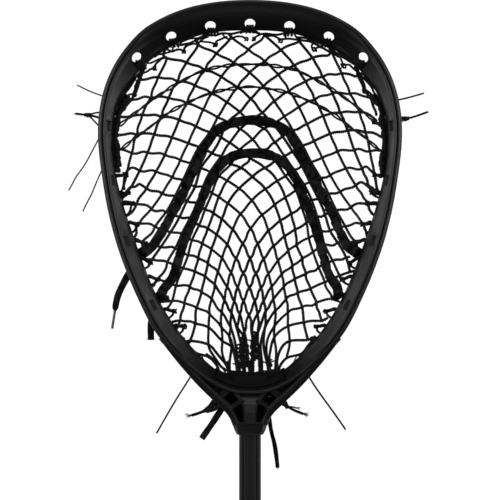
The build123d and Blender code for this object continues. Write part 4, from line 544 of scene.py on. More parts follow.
# ------------------------------------------------------------------ materials
def tree(name):
    mat = bpy.data.materials.new(name)
    mat.use_nodes = True
    nt = mat.node_tree
    for n in list(nt.nodes):
        nt.nodes.remove(n)
    out = nt.nodes.new("ShaderNodeOutputMaterial")
    bsdf = nt.nodes.new("ShaderNodeBsdfPrincipled")
    nt.links.new(bsdf.outputs["BSDF"], out.inputs["Surface"])
    co = nt.nodes.new("ShaderNodeTexCoord")
    return mat, nt, bsdf, co.outputs["Object"]


def noise(nt, co, scale, detail=3.0, rough=0.55, stretch=None, distort=0.0):
    if stretch:
        m = nt.nodes.new("ShaderNodeMapping")
        m.inputs["Scale"].default_value = stretch
        nt.links.new(co, m.inputs["Vector"])
        co = m.outputs["Vector"]
    n = nt.nodes.new("ShaderNodeTexNoise")
    n.inputs["Scale"].default_value = scale
    n.inputs["Detail"].default_value = detail
    n.inputs["Roughness"].default_value = rough
    n.inputs["Distortion"].default_value = distort
    nt.links.new(co, n.inputs["Vector"])
    return n.outputs["Fac"]


def ramp(nt, fac, *stops):
    r = nt.nodes.new("ShaderNodeValToRGB")
    el = r.color_ramp.elements
    while len(el) < len(stops):
        el.new(0.5)
    for e, (pos, col) in zip(el, stops):
        e.position = pos
        e.color = (*col, 1) if isinstance(col, tuple) else (col, col, col, 1)
    nt.links.new(fac, r.inputs["Fac"])
    return r.outputs["Color"]


def remap(nt, fac, lo, hi, a=0.3, b=0.7):
    m = nt.nodes.new("ShaderNodeMapRange")
    m.inputs["From Min"].default_value = a
    m.inputs["From Max"].default_value = b
    m.inputs["To Min"].default_value = lo
    m.inputs["To Max"].default_value = hi
    nt.links.new(fac, m.inputs["Value"])
    return m.outputs["Result"]


def add(nt, *values):
    out = values[0]
    for v in values[1:]:
        m = nt.nodes.new("ShaderNodeMath")
        m.operation = "ADD"
        nt.links.new(out, m.inputs[0])
        nt.links.new(v, m.inputs[1])
        out = m.outputs[0]
    return out


def bump(nt, bsdf, height, strength, distance, before=None):
    b = nt.nodes.new("ShaderNodeBump")
    b.inputs["Strength"].default_value = strength
    b.inputs["Distance"].default_value = distance
    nt.links.new(height, b.inputs["Height"])
    if before is not None:
        nt.links.new(before, b.inputs["Normal"])
    nt.links.new(b.outputs["Normal"], bsdf.inputs["Normal"])
    return b.outputs["Normal"]


def cells(nt, co, scale, feature="F1"):
    v = nt.nodes.new("ShaderNodeTexVoronoi")
    v.feature = feature
    v.inputs["Scale"].default_value = scale
    nt.links.new(co, v.inputs["Vector"])
    return v.outputs["Distance"]


def make_plastic():
    mat, nt, s, co = tree("moulded_plastic")
    cloud = noise(nt, co, 26.0, 4.0)
    flow = noise(nt, co, 10.0, 3.0, 0.6, (1.0, 1.0, 0.25), 0.6)
    grain = noise(nt, co, 2400.0, 2.0)
    scuff = noise(nt, co, 160.0, 6.0, 0.7, (1.0, 1.0, 0.12))
    nt.links.new(ramp(nt, add(nt, cloud, flow), (0.35, 0.0042), (0.65, 0.0062)), s.inputs["Base Color"])
    nt.links.new(remap(nt, add(nt, cloud, scuff), 0.38, 0.46, 0.7, 1.3), s.inputs["Roughness"])
    s.inputs["Specular IOR Level"].default_value = 0.5
    n = bump(nt, s, grain, 0.22, 0.00006)
    bump(nt, s, scuff, 0.10, 0.00012, n)
    return mat


def make_cord(name, base, rough, sheen, fibre=5200.0):
    mat, nt, s, co = tree(name)
    hairs = noise(nt, co, fibre, 3.0, 0.6)
    patch = noise(nt, co, 420.0, 2.0)
    nt.links.new(ramp(nt, patch, (0.3, base * 0.7), (0.7, base * 1.35)), s.inputs["Base Color"])
    nt.links.new(remap(nt, hairs, rough - 0.09, rough + 0.10), s.inputs["Roughness"])
    s.inputs["Specular IOR Level"].default_value = 0.34
    s.inputs["Sheen Weight"].default_value = sheen
    s.inputs["Sheen Roughness"].default_value = 0.45
    bump(nt, s, hairs, 0.5, 0.00012)
    return mat


def make_lace():
    mat, nt, s, co = tree("woven_lace")
    hairs = noise(nt, co, 3600.0, 3.0, 0.6)
    # The noise named folds is painted shade: it darkens the lace's colour in patches and lowers its specular level
    # there, standing in for the shadows of the lace's folds.
    folds = noise(nt, co, 105.0, 1.0, 0.5, None, 0.4)
    nt.links.new(ramp(nt, folds, (0.38, 0.0012), (0.6, 0.0046)), s.inputs["Base Color"])
    # painted fold shade also in the specular level: weaker reflection where the colour is painted darker
    nt.links.new(remap(nt, folds, 0.12, 0.36, 0.36, 0.60), s.inputs["Specular IOR Level"])
    nt.links.new(remap(nt, hairs, 0.52, 0.72), s.inputs["Roughness"])
    bump(nt, s, hairs, 0.5, 0.00012)
    return mat


def make_shaft():
    mat, nt, s, co = tree("coated_alloy")
    orange = noise(nt, co, 1500.0, 2.0)
    wear = noise(nt, co, 30.0, 5.0, 0.65, (1.0, 1.0, 0.18))
    fine = noise(nt, co, 700.0, 4.0, 0.7, (1.0, 1.0, 0.02))
    nt.links.new(ramp(nt, wear, (0.35, 0.0040), (0.7, 0.0058)), s.inputs["Base Color"])
    nt.links.new(remap(nt, add(nt, wear, fine), 0.36, 0.46, 0.7, 1.3), s.inputs["Roughness"])
    s.inputs["Specular IOR Level"].default_value = 0.46
    bump(nt, s, orange, 0.18, 0.00005)
    return mat


def make_rubber():
    mat, nt, s, co = tree("cap_rubber")
    grain = noise(nt, co, 1800.0, 4.0, 0.7)
    dust = noise(nt, co, 60.0, 5.0, 0.7)
    nt.links.new(ramp(nt, dust, (0.35, 0.010), (0.75, 0.019)), s.inputs["Base Color"])
    nt.links.new(remap(nt, dust, 0.68, 0.86), s.inputs["Roughness"])
    bump(nt, s, grain, 0.4, 0.00012)
    return mat


def make_steel():
    mat, nt, s, co = tree("dark_steel")
    turn = noise(nt, co, 900.0, 4.0, 0.6)
    nt.links.new(ramp(nt, turn, (0.3, 0.07), (0.7, 0.12)), s.inputs["Base Color"])
    s.inputs["Metallic"].default_value = 1.0
    nt.links.new(remap(nt, turn, 0.28, 0.42), s.inputs["Roughness"])
    bump(nt, s, turn, 0.15, 0.00006)
    return mat


def make_foam():
    mat, nt, s, co = tree("closed_cell_foam")
    pore = cells(nt, co, 1500.0)
    lump = noise(nt, co, 220.0, 4.0)
    nt.links.new(ramp(nt, lump, (0.3, 0.0022), (0.7, 0.0046)), s.inputs["Base Color"])
    s.inputs["Specular IOR Level"].default_value = 0.22
    nt.links.new(remap(nt, lump, 0.72, 0.88), s.inputs["Roughness"])
    n = bump(nt, s, pore, 0.55, 0.00016)
    bump(nt, s, lump, 0.3, 0.0005, n)
    return mat


def make_aglet():
    mat, nt, s, co = tree("clear_tip")
    streak = noise(nt, co, 500.0, 4.0, 0.6, (1.0, 1.0, 0.06))
    nt.links.new(ramp(nt, streak, (0.3, 0.09), (0.7, 0.20)), s.inputs["Base Color"])
    nt.links.new(remap(nt, streak, 0.22, 0.34), s.inputs["Roughness"])
    s.inputs["Coat Weight"].default_value = 0.6
    s.inputs["Coat Roughness"].default_value = 0.12
    bump(nt, s, streak, 0.2, 0.00008)
    return mat


def make_floor():
    mat, nt, s, co = tree("pale_floor")
    patch = noise(nt, co, 1.4, 5.0)
    grit = noise(nt, co, 240.0, 3.0)
    nt.links.new(ramp(nt, patch, (0.3, 0.90), (0.7, 0.94)), s.inputs["Base Color"])
    nt.links.new(remap(nt, grit, 0.62, 0.74), s.inputs["Roughness"])
    s.inputs["Emission Color"].default_value = (1, 1, 1, 1)
    s.inputs["Emission Strength"].default_value = 0.12
    return mat


PLASTIC, SHAFT, RUBBER = make_plastic(), make_shaft(), make_rubber()
STEEL, FOAM, TIP, FLOOR = make_steel(), make_foam(), make_aglet(), make_floor()
MESH = make_cord("mesh_cord", 0.0066, 0.50, 0.02)
STRING = make_cord("string_cord", 0.0060, 0.50, 0.02)
LACE = make_lace()
NYLON = make_cord("nylon_cord", 0.0066, 0.42, 0.01, 6500.0)

# ------------------------------------------------------------ light and stage
world = bpy.data.worlds.new("studio")
bpy.context.scene.world = world
world.use_nodes = True
wt = world.node_tree
for n in list(wt.nodes):
    wt.nodes.remove(n)
w_out = wt.nodes.new("ShaderNodeOutputWorld")
seen = wt.nodes.new("ShaderNodeBackground")
seen.inputs["Color"].default_value = (1, 1, 1, 1)
seen.inputs["Strength"].default_value = 1.05
felt = wt.nodes.new("ShaderNodeBackground")
felt.inputs["Color"].default_value = (0.92, 0.95, 1.0, 1)
felt.inputs["Strength"].default_value = AMBIENT
w_mix = wt.nodes.new("ShaderNodeMixShader")
w_path = wt.nodes.new("ShaderNodeLightPath")
wt.links.new(w_path.outputs["Is Camera Ray"], w_mix.inputs["Fac"])
wt.links.new(felt.outputs[0], w_mix.inputs[1])
wt.links.new(seen.outputs[0], w_mix.inputs[2])
wt.links.new(w_mix.outputs[0], w_out.inputs["Surface"])


def area(name, at, aim, size, size_y, power, tint=(1, 1, 1)):
    light = bpy.data.lights.new(name, "AREA")
    light.shape = "RECTANGLE"
    light.size, light.size_y = size, size_y
    light.energy = power
    light.color = tint
    ob = bpy.data.objects.new(name, light)
    bpy.context.scene.collection.objects.link(ob)
    ob.location = at
    ob.rotation_euler = (Vector(aim) - Vector(at)).to_track_quat("-Z", "Y").to_euler()
    return ob


for spec in LIGHTS:
    area(*spec)

bpy.context.scene.view_settings.view_transform = "Standard"
bpy.context.scene.view_settings.look = "None"

floor = Bits()
rings, spokes = [0.0, 150, 300, 420, 520], 72
fv = [(0, 0, -0.4)]
ff = []
for r in rings[1:]:
    for k in range(spokes):
        a = 2 * math.pi * k / spokes
        fv.append((r * math.cos(a), r * math.sin(a), -0.4))
for k in range(spokes):
    ff.append((0, 1 + k, 1 + (k + 1) % spokes))
for i in range(len(rings) - 2):
    for k in range(spokes):
        a, b = 1 + i * spokes + k, 1 + i * spokes + (k + 1) % spokes
        ff.append((a, a + spokes, b + spokes, b))
floor.add(fv, ff)
floor.make("floor", FLOOR)


# ---------------------------------------------------------- places on the net
def half_widths(v):
    return np.interp(v, half_table[:, 1], half_table[:, 0]) - REF


def net_y(u, v):
    tau = np.clip((v - 33.0) / 343.0, 0.0, 1.0)
    along = (4 * tau * (1 - tau)) ** 0.62 * (0.86 + 0.14 * np.sin(np.pi * tau))
    hw = np.maximum(half_widths(np.clip(v, 33.0, 377.0)) - 5.0, 10.0)
    s = np.minimum(np.abs(u - REF) / hw, 1.0)
    return BACK_Y - 3.0 + BAG_DEPTH * along * (1 - s * s) ** 0.85


def spot(u, v, y):
    k = (VIEW + y) / VIEW
    return np.stack([(u - REF) * k, y + 0.0 * k, HEAD_MID_Z + (REF - v) * k], -1)


def net_normal(u, v):
    e = 1.5
    a = spot(u + e, v, net_y(u + e, v)) - spot(u - e, v, net_y(u - e, v))
    b = spot(u, v + e, net_y(u, v + e)) - spot(u, v - e, net_y(u, v - e))
    n = np.cross(a, b)
    n /= np.linalg.norm(n, axis=1)[:, None]
    return np.where(n[:, 1:2] > 0, -n, n)


def ease(values, reach):
    """Running mean over reach samples each way."""
    if reach < 1:
        return values
    pad = np.concatenate([np.full(reach, values[0]), values, np.full(reach, values[-1])])
    return np.convolve(pad, np.ones(2 * reach + 1) / (2 * reach + 1), "valid")


def on_net(pts, lift=0.0, step=0.75):
    """A smooth line on the net, lift mm in front of it, with its normals."""
    q = smooth_line(pts, step)
    u, v = q[:, 0], q[:, 1]
    n = net_normal(u, v)
    y = net_y(u, v) - lift / np.maximum(-n[:, 1], 0.5)
    return spot(u, v, y), n


def surface_y(u, v):
    """Depth of what carries a string at (u, v): the scoop's front or the net."""
    inside = (np.abs(u - REF) < half_widths(v) - 0.3) & (v > 30.5)
    y = net_y(u, v)
    for i in np.nonzero(~inside & (v < 120))[0]:
        y[i] = min(scoop_y(u[i], v[i]) - 1.3, 20.5)
    return y


def draped(pts, lift=0.0, step=0.75):
    """A smooth line over the scoop's lip and on to the net."""
    q = smooth_line(pts, step)
    u, v = q[:, 0], q[:, 1]
    y = ease(surface_y(u, v), 3) - lift
    return spot(u, v, y)


def flip(pts):
    return [(2 * REF - q[0], *q[1:]) for q in pts]


# -------------------------------------------------------------- knotted mesh
def crossings(a, b):
    """Where two polylines cross: (place along a, place along b, u, v)."""
    p, r = a[:-1, None, :], (a[1:] - a[:-1])[:, None, :]
    q, s = b[None, :-1, :], (b[1:] - b[:-1])[None, :, :]
    den = r[..., 0] * s[..., 1] - r[..., 1] * s[..., 0]
    den = np.where(np.abs(den) < 1e-9, 1e-9, den)
    d = q - p
    t = (d[..., 0] * s[..., 1] - d[..., 1] * s[..., 0]) / den
    w = (d[..., 0] * r[..., 1] - d[..., 1] * r[..., 0]) / den
    hit = (t >= 0) & (t < 1) & (w >= 0) & (w < 1)
    out = []
    for i, j in zip(*np.nonzero(hit)):
        c = a[i] + (a[i + 1] - a[i]) * t[i, j]
        out.append((i + t[i, j], j + w[i, j], c[0], c[1]))
    return out


def both(uv):
    return uv + flip(uv[-2::-1])


UPPER_LACE = [(151.6, 247.0), (159.0, 236.3), (165.9, 225.3), (171.9, 213.8), (178.5, 202.5), (184.3, 191.1),
              (189.5, 179.3), (195.4, 166.5), (201.0, 154.8), (207.0, 143.2), (214.4, 132.7), (224.8, 125.9),
              (237.2, 122.0), (250.0, 120.1), (263.1, 121.1), (275.7, 124.5), (287.0, 131.5), (294.8, 142.4),
              (301.1, 153.9), (307.5, 165.2), (313.7, 177.8), (319.3, 189.3), (325.1, 200.4), (331.6, 211.7),
              (336.6, 224.0), (341.8, 235.8), (348.6, 246.9)]
LOWER_LACE = [(164.4, 288.2), (172.4, 278.0), (176.7, 265.6), (180.4, 253.2), (184.3, 240.8), (189.2, 228.7),
              (194.7, 216.9), (200.1, 203.9), (204.9, 191.8), (210.4, 180.1), (217.0, 169.1), (225.5, 160.2),
              (237.0, 154.9), (250.0, 153.2), (263.2, 153.9), (275.9, 157.6), (287.0, 166.2), (295.1, 177.4),
              (300.8, 189.5), (305.6, 201.7), (310.8, 214.6), (315.1, 227.0), (318.8, 239.7), (322.3, 252.4),
              (325.8, 264.9), (330.0, 276.8), (336.9, 287.0)]
UPPER_TAIL = [(137.4, 258.6), (141.4, 254.8), (146.2, 251.2)]
LOWER_TAIL = [(159.8, 298.4), (161.8, 293.2)]
LACE_W, LACE_T, LACE_LIFT = 10.3, 1.8, 2.2


MESH_OVER = 4.2


def beside(q, table):
    """For points q seen from the front: how far out from the middle of the
    lace each lies (positive outside its bend)."""
    mid = smooth_line(table, 1.0)
    t = np.gradient(mid, axis=0)
    t /= np.linalg.norm(t, axis=1)[:, None]
    out = np.stack([t[:, 1], -t[:, 0]], 1)
    out *= np.sign(np.sum(out * (mid - np.array([REF, 290.0])), axis=1))[:, None]
    d = np.linalg.norm(q[:, None, :] - mid[None, :, :], axis=2)
    j = np.argmin(d, axis=1)
    far = np.sum((q - mid[j]) * out[j], axis=1)
    off = np.abs(np.sum((q - mid[j]) * t[j], axis=1))
    return np.where(off < 2.0, far, 99.0)


def over_lace(q):
    """How much of a strand's way to the front of a lace it has at points q."""
    best = np.zeros(len(q))
    for table, low in ((UPPER_LACE, 222.0), (LOWER_LACE, 224.0)):
        x = beside(q, table)
        w = np.clip((x - 1.5) / 0.9, 0, 1) * np.clip((9.0 - x) / 3.0, 0, 1)
        w = np.where(q[:, 1] < low, w, w * np.clip((low + 6 - q[:, 1]) / 6, 0, 1))
        best = np.maximum(best, w)
    return best


NET_STEP = 0.75
net_a = {k: smooth_line(p, NET_STEP) for k, p in STRANDS_A.items()}
net_b = {k: smooth_line(p, NET_STEP) for k, p in STRANDS_B.items()}
cross_a = {k: [] for k in net_a}
cross_b = {k: [] for k in net_b}
net_nodes = []
for i, pa in net_a.items():
    for j, pb in net_b.items():
        if (pa[:, 0].max() < pb[:, 0].min() or pb[:, 0].max() < pa[:, 0].min()
                or pa[:, 1].max() < pb[:, 1].min() or pb[:, 1].max() < pa[:, 1].min()):
            continue
        for at_a, at_b, u, v in crossings(pa, pb):
            sign = 1 if (i + j) % 2 == 0 else -1
            cross_a[i].append((at_a, sign))
            cross_b[j].append((at_b, -sign))
            ta = pa[min(int(at_a) + 2, len(pa) - 1)] - pa[max(int(at_a) - 2, 0)]
            tb = pb[min(int(at_b) + 2, len(pb) - 1)] - pb[max(int(at_b) - 2, 0)]
            net_nodes.append((u, v, ta / np.linalg.norm(ta), tb / np.linalg.norm(tb)))


def weave_lift(n, marks, depth):
    """Over and under at the marks, smooth between them."""
    if not marks:
        return np.zeros(n)
    marks = sorted(marks)
    x = np.array([m[0] for m in marks])
    s = np.array([m[1] for m in marks], float)
    i = np.arange(n)
    return ease(np.interp(i, x, s), 3) * depth


mesh_bits = [Bits() for _ in range(6)]


def mesh_slot(q, kind):
    """Which of the net's pieces a strand goes into."""
    mid = np.mean(q[:, 0])
    return kind * 3 + (0 if mid < 215 else 1 if mid < 285 else 2)


for kind, (strands, marks) in enumerate(((net_a, cross_a), (net_b, cross_b))):
    for key, q in strands.items():
        u, v = q[:, 0], q[:, 1]
        n = net_normal(u, v)
        lift = weave_lift(len(q), marks[key], 0.55)
        lift = lift + MESH_OVER * ease(over_lace(q), 1)
        y = net_y(u, v) - lift / np.maximum(-n[:, 1], 0.5)
        line = spot(u, v, y)
        wide = MESH_WIDTH + 0.12 * math.sin(key * 1.7 + kind)
        twist(mesh_bits[mesh_slot(q, kind)], line, wide, 4.95, 2, n, 6,
              random.uniform(0, 6.28), 0.28)

for u, v, ta, tb in net_nodes:
    if v > 332:
        continue
    n = net_normal(np.array([u]), np.array([v]))[0]
    c = spot(np.array([u]), np.array([v]), net_y(np.array([u]), np.array([v])))[0]
    c = c + n * MESH_OVER * over_lace(np.array([[u, v]]))[0]
    for d, other, off in ((ta, tb, 0.25), (tb, ta, -0.25)):
        axis = np.array([d[0], 0.0, -d[1]])
        axis -= n * np.dot(axis, n)
        axis /= np.linalg.norm(axis)
        side = np.cross(axis, n)
        w = np.linspace(0, 2 * np.pi, 12) + random.uniform(0, 1)
        tilt = random.uniform(-0.5, 0.5)
        ring = (c + axis * off + (1.28 * np.cos(w))[:, None] * side
                + (1.12 * np.sin(w))[:, None] * n
                + (tilt * np.cos(w) + 0.3 * np.sin(w))[:, None] * axis)
        part = 0 if u < 215 else 1 if u < 285 else 2
        tube(mesh_bits[part + (3 if off < 0 else 0)], ring, 0.52, 5, axis, False)

mesh_pieces = []
for k, b in enumerate(mesh_bits):
    ob = b.make(f"mesh_part_{k + 1}", MESH)
    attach(ob, "stick")
    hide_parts("pocket_mesh")
    mesh_pieces.append(ob)


# --------------------------------------------------------------------- laces
def ribbon(bits, p, width, thick, up, seed=0, relief=0.16, pitch=2.5, folds=(), tip=0.0):
    """Flat woven lace: rounded edges and slanting stitches on both faces.
    folds lists (distance along, side, depth) of the pinches in it."""
    p = np.asarray(p, float)
    t, e1, e2 = side_frames(p, up)
    s = np.concatenate([[0], np.cumsum(np.linalg.norm(np.diff(p, axis=0), axis=1))])
    rnd = random.Random(seed)
    a, b, c = (rnd.uniform(0, 6.28) for _ in range(3))
    wide = width * (1 + 0.035 * np.sin(s / 7.0 + a) + 0.025 * np.sin(s / 2.9 + b))
    roll = 0.10 * np.sin(s / 16.0 + c)
    slim = np.zeros(len(s))
    for f, _, deep in folds:
        slim += 0.06 * deep * np.exp(-((s - f) / 2.6) ** 2)
    wide = wide * (1 - slim)
    if tip:
        wide *= np.sqrt(1 - 0.9 * np.clip((s - s[-1] + tip) / tip, 0, 1) ** 2)
    m = 13
    x = np.sin(np.linspace(-1, 1, m) * np.pi / 2)
    half = thick / 2 * (1 - 0.72 * np.abs(x) ** 5)
    xs = np.concatenate([x, x[::-1]])
    hs = np.concatenate([half, -half])
    sgn = np.concatenate([np.ones(m), -np.ones(m)])
    rings = []
    for i in range(len(p)):
        lane = np.abs(xs) * width / 2
        wave = np.sin(2 * np.pi * (s[i] + lane * 0.9) / pitch)
        rows = np.cos(np.pi * xs * 3.0)
        h = hs + sgn * relief * (0.65 * wave + 0.35 * rows) * (1 - np.abs(xs) ** 6)
        for f, side, deep in folds:
            if abs(s[i] - f) < 9.0:
                slant = s[i] - f - 2.6 * xs * side
                h = h - deep * (np.exp(-(slant / 1.7) ** 2) * np.clip(0.55 + 0.6 * xs * side, 0, 1)
                                - 0.45 * np.exp(-((slant - 3.6) / 1.8) ** 2))
        ca, sa = math.cos(roll[i]), math.sin(roll[i])
        lx = xs * wide[i] / 2 * (1 + 0.02 * wave)
        rings.append(p[i] + np.outer(lx * ca - h * sa, e1[i]) + np.outer(lx * sa + h * ca, e2[i]))
    v = np.concatenate(rings)
    n = len(v)
    faces = grid_faces(len(p), 2 * m)
    v = np.vstack([v, p[0] - t[0] * 0.3, p[-1] + t[-1] * 0.3])
    for j in range(2 * m):
        k = (j + 1) % (2 * m)
        faces.append((n, k, j))
        faces.append((n + 1, (len(p) - 1) * 2 * m + j, (len(p) - 1) * 2 * m + k))
    bits.add(v, faces)


def lace_line(table, tail, seed):
    pts = smooth_line(tail + table + flip(tail)[::-1], 0.7)
    u, v = pts[:, 0], pts[:, 1]
    n = net_normal(u, v)
    s = np.arange(len(u)) * 0.7
    rnd = random.Random(seed)
    wav = 0.45 * np.sin(s / 3.9 + rnd.uniform(0, 6)) + 0.3 * np.sin(s / 6.7 + rnd.uniform(0, 6))
    y = net_y(u, v) - (LACE_LIFT + wav) / np.maximum(-n[:, 1], 0.5)
    # the ends go round the rim's inner edge and out behind it
    edge = half_widths(v) - np.abs(u - REF)
    back = np.clip((7.0 - edge) / 7.0, 0, 1)
    back = back * back * (3 - 2 * back)
    y = ease(y * (1 - back) + (BACK_Y + 3.0) * back, 5)
    # the lace faces the front more than the net under it does
    n = n + np.array([0, -1.3, 0])
    n = n * (1 - back[:, None]) + np.array([0, -2.3, 0]) * back[:, None]
    n /= np.linalg.norm(n, axis=1)[:, None]
    return spot(u, v, y), n


FOLD_SIDE = 1
for node, table, tail, seed in (("shooting_lace_upper", UPPER_LACE, UPPER_TAIL, 3),
                                ("shooting_lace_lower", LOWER_LACE, LOWER_TAIL, 8)):
    b = Bits()
    line, n = lace_line(table, tail, seed)
    total = float(np.sum(np.linalg.norm(np.diff(line, axis=0), axis=1)))
    middle = total / 2
    rnd = random.Random(seed)
    folds = []
    for side in (-1, 1):
        f = 24.0
        while f < middle - 40.0:
            folds.append((middle + side * f, side * FOLD_SIDE, rnd.uniform(1.7, 2.5)))
            f += rnd.uniform(15.5, 18.5)
    ribbon(b, line, LACE_W, LACE_T - 0.2, n, seed, 0.10, 2.5, folds)
    ob = b.make(node.replace("shooting_lace", "woven_lace"), LACE)
    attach(ob, "stick")
    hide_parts(node)


# ------------------------------------------------------------- nylon shooters
UPPER_NYLON = [(119.5, 125.5), (139, 110), (164, 92), (184, 80), (205, 70), (234, 65), (250, 64.3)]
LOWER_NYLON = [(114.6, 152.6), (121.5, 149.0), (137, 136), (146, 130), (168.5, 113), (187, 103), (211, 93),
               (237, 88), (250, 86.7)]
for node, table, seed in (("nylon_shooter_upper", UPPER_NYLON, 1),
                          ("nylon_shooter_lower", LOWER_NYLON, 2)):
    b = Bits()
    q = smooth_line(both(table), 0.7)
    s = np.arange(len(q)) * 0.7
    t2 = tangents(np.column_stack([q, np.zeros(len(q))]))[:, :2]
    side = np.column_stack([-t2[:, 1], t2[:, 0]])
    rnd = random.Random(seed)
    swell = 0.95 + 0.45 * np.sin(s / 9.0 + rnd.uniform(0, 6))
    for k in (-1, 1):
        off = k * swell * np.sin(np.pi * s / 15.5 + seed)
        w = q + side * off[:, None]
        n = net_normal(w[:, 0], w[:, 1])
        lift = 1.7 + 0.55 * k * np.cos(np.pi * s / 15.5 + seed)
        y = net_y(w[:, 0], w[:, 1]) - lift / np.maximum(-n[:, 1], 0.5)
        plait(b, spot(w[:, 0], w[:, 1], y), 2.3, 4.2, n, 5, seed + k)
    ob = b.make(node + "_pair", NYLON)
    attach(ob, "stick")
    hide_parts(node)


# ------------------------------------------------------- strings on the scoop
# (width, lift, points) seen from the front
TOP_LEFT = [
    (2.0, 0.4, [(139.9, 59.4), (141.2, 66.8), (143.5, 68.7), (143, 71.6)]),
    (2.0, 0.6, [(140.6, 58.4), (144.7, 61.7), (148.3, 63.2), (151.4, 62.7), (156, 60.6), (161.6, 58.1), (166, 56.6)]),
    (2.2, 0.2, [(154.2, 57.1), (159, 54.3), (162.1, 54), (164.1, 52), (166.2, 49.4), (171.8, 52.0)]),
    (2.0, 0.4, [(172.5, 38.6), (173.8, 43.8), (172.8, 48.4), (172.5, 49.9)]),
    (2.0, 0.6, [(174.3, 38), (176.9, 41.8), (178.4, 44.3), (181, 45.3), (183.5, 44.8), (188, 43.6)]),
    (2.3, 0.0, [(171.8, 52), (176.4, 49.9), (181.5, 49.9), (183.5, 50.8), (184.4, 48.2), (186, 46.4), (188, 45.0)]),
    (2.2, 0.2, [(143.2, 72.9), (147.3, 71.4), (150.3, 69.3), (153.8, 68.0), (154.9, 66.0), (156, 63.7), (159, 61.2),
                (162.1, 58.6), (165.6, 57.8)]),
    (2.0, 0.0, [(162.1, 55.6), (165.6, 53.2), (169, 52.2), (173, 50.6)]),
    (2.2, 0.6, [(142.6, 69.6), (140.7, 71.3), (139.6, 74.4), (138.6, 79), (136.8, 82), (136.6, 86.7), (134, 91.8),
                (134.6, 96.9)]),
    (2.0, -0.6, [(141.4, 71.8), (138.4, 76.9), (138.6, 81), (135.4, 85.0), (135.0, 90), (135.2, 93.9)]),
    (2.3, 0.3, [(140.4, 72.4), (137.6, 75.2), (133.5, 79.5), (130.4, 83.1), (127.4, 88.2), (124.3, 92.3),
                (120.6, 96.2), (118.9, 100.4)]),
    (2.0, 0.9, [(136.2, 77.8), (133.5, 81.6), (131, 85.7), (128.4, 89.2), (124.8, 93.8), (122.4, 97.6),
                (119.6, 102.4)]),
    (2.0, 0.2, [(134.2, 95.8), (132.2, 94.4), (129.9, 94.3), (127.4, 96.4), (124.3, 100.4), (121.4, 103.6)]),
    (2.0, -0.2, [(134.6, 99.4), (129.6, 98.9), (126.9, 101.5), (124.4, 104.2), (119.6, 107.6)]),
    # between the second and the third hole
    (2.2, 0.3, [(179.2, 43.9), (182.8, 44.4), (185.3, 43.9), (189.4, 43.2), (194, 41.2), (198.6, 39.1),
                (201.6, 37.3), (205.7, 36.3), (210.8, 35.3), (215.9, 35.3), (219, 34.2), (223.1, 33.2),
                (228.7, 33.7), (233.8, 33.5), (238.9, 32.2), (244, 31.5), (250, 31.8)]),
    (2.0, 0.8, [(179.7, 42.7), (187.9, 39.3), (192.4, 38.3), (196.5, 38.4), (200.6, 37.1), (204.7, 35.2),
                (209, 34.6)]),
    (2.0, -0.4, [(184.8, 46.2), (190.4, 44.6), (194.4, 43.8), (197.8, 45.0)]),
    (2.0, 0.2, [(210.8, 28.6), (209.3, 32.2), (208.8, 34.8)]),
    (2.0, 0.5, [(212.9, 28.0), (215.4, 31.2), (217.4, 32.7), (219.6, 33.4)]),
    (2.0, 0.2, [(200.6, 41.4), (205.7, 41.9), (210.3, 42.4), (213.4, 43.7), (215.4, 44.2), (216.0, 41.9),
                (220, 39.6), (224.1, 37.8), (227.6, 36.8)]),
    (2.0, 0.0, [(197.8, 45.2), (199.2, 42.4), (203.6, 38.6), (208.6, 36.6)]),
    (2.0, 0.0, [(222.4, 33.8), (225.6, 37.6), (230.4, 39.8)]),
    (2.0, 0.2, [(230.4, 39.4), (234.3, 37.3), (238.9, 36.3), (242.4, 36.8), (244.4, 37.8), (246.3, 38.6)]),
    (2.0, 0.5, [(247.8, 25.6), (245.9, 29.7), (243.4, 31.7), (239.8, 33.4)]),
]
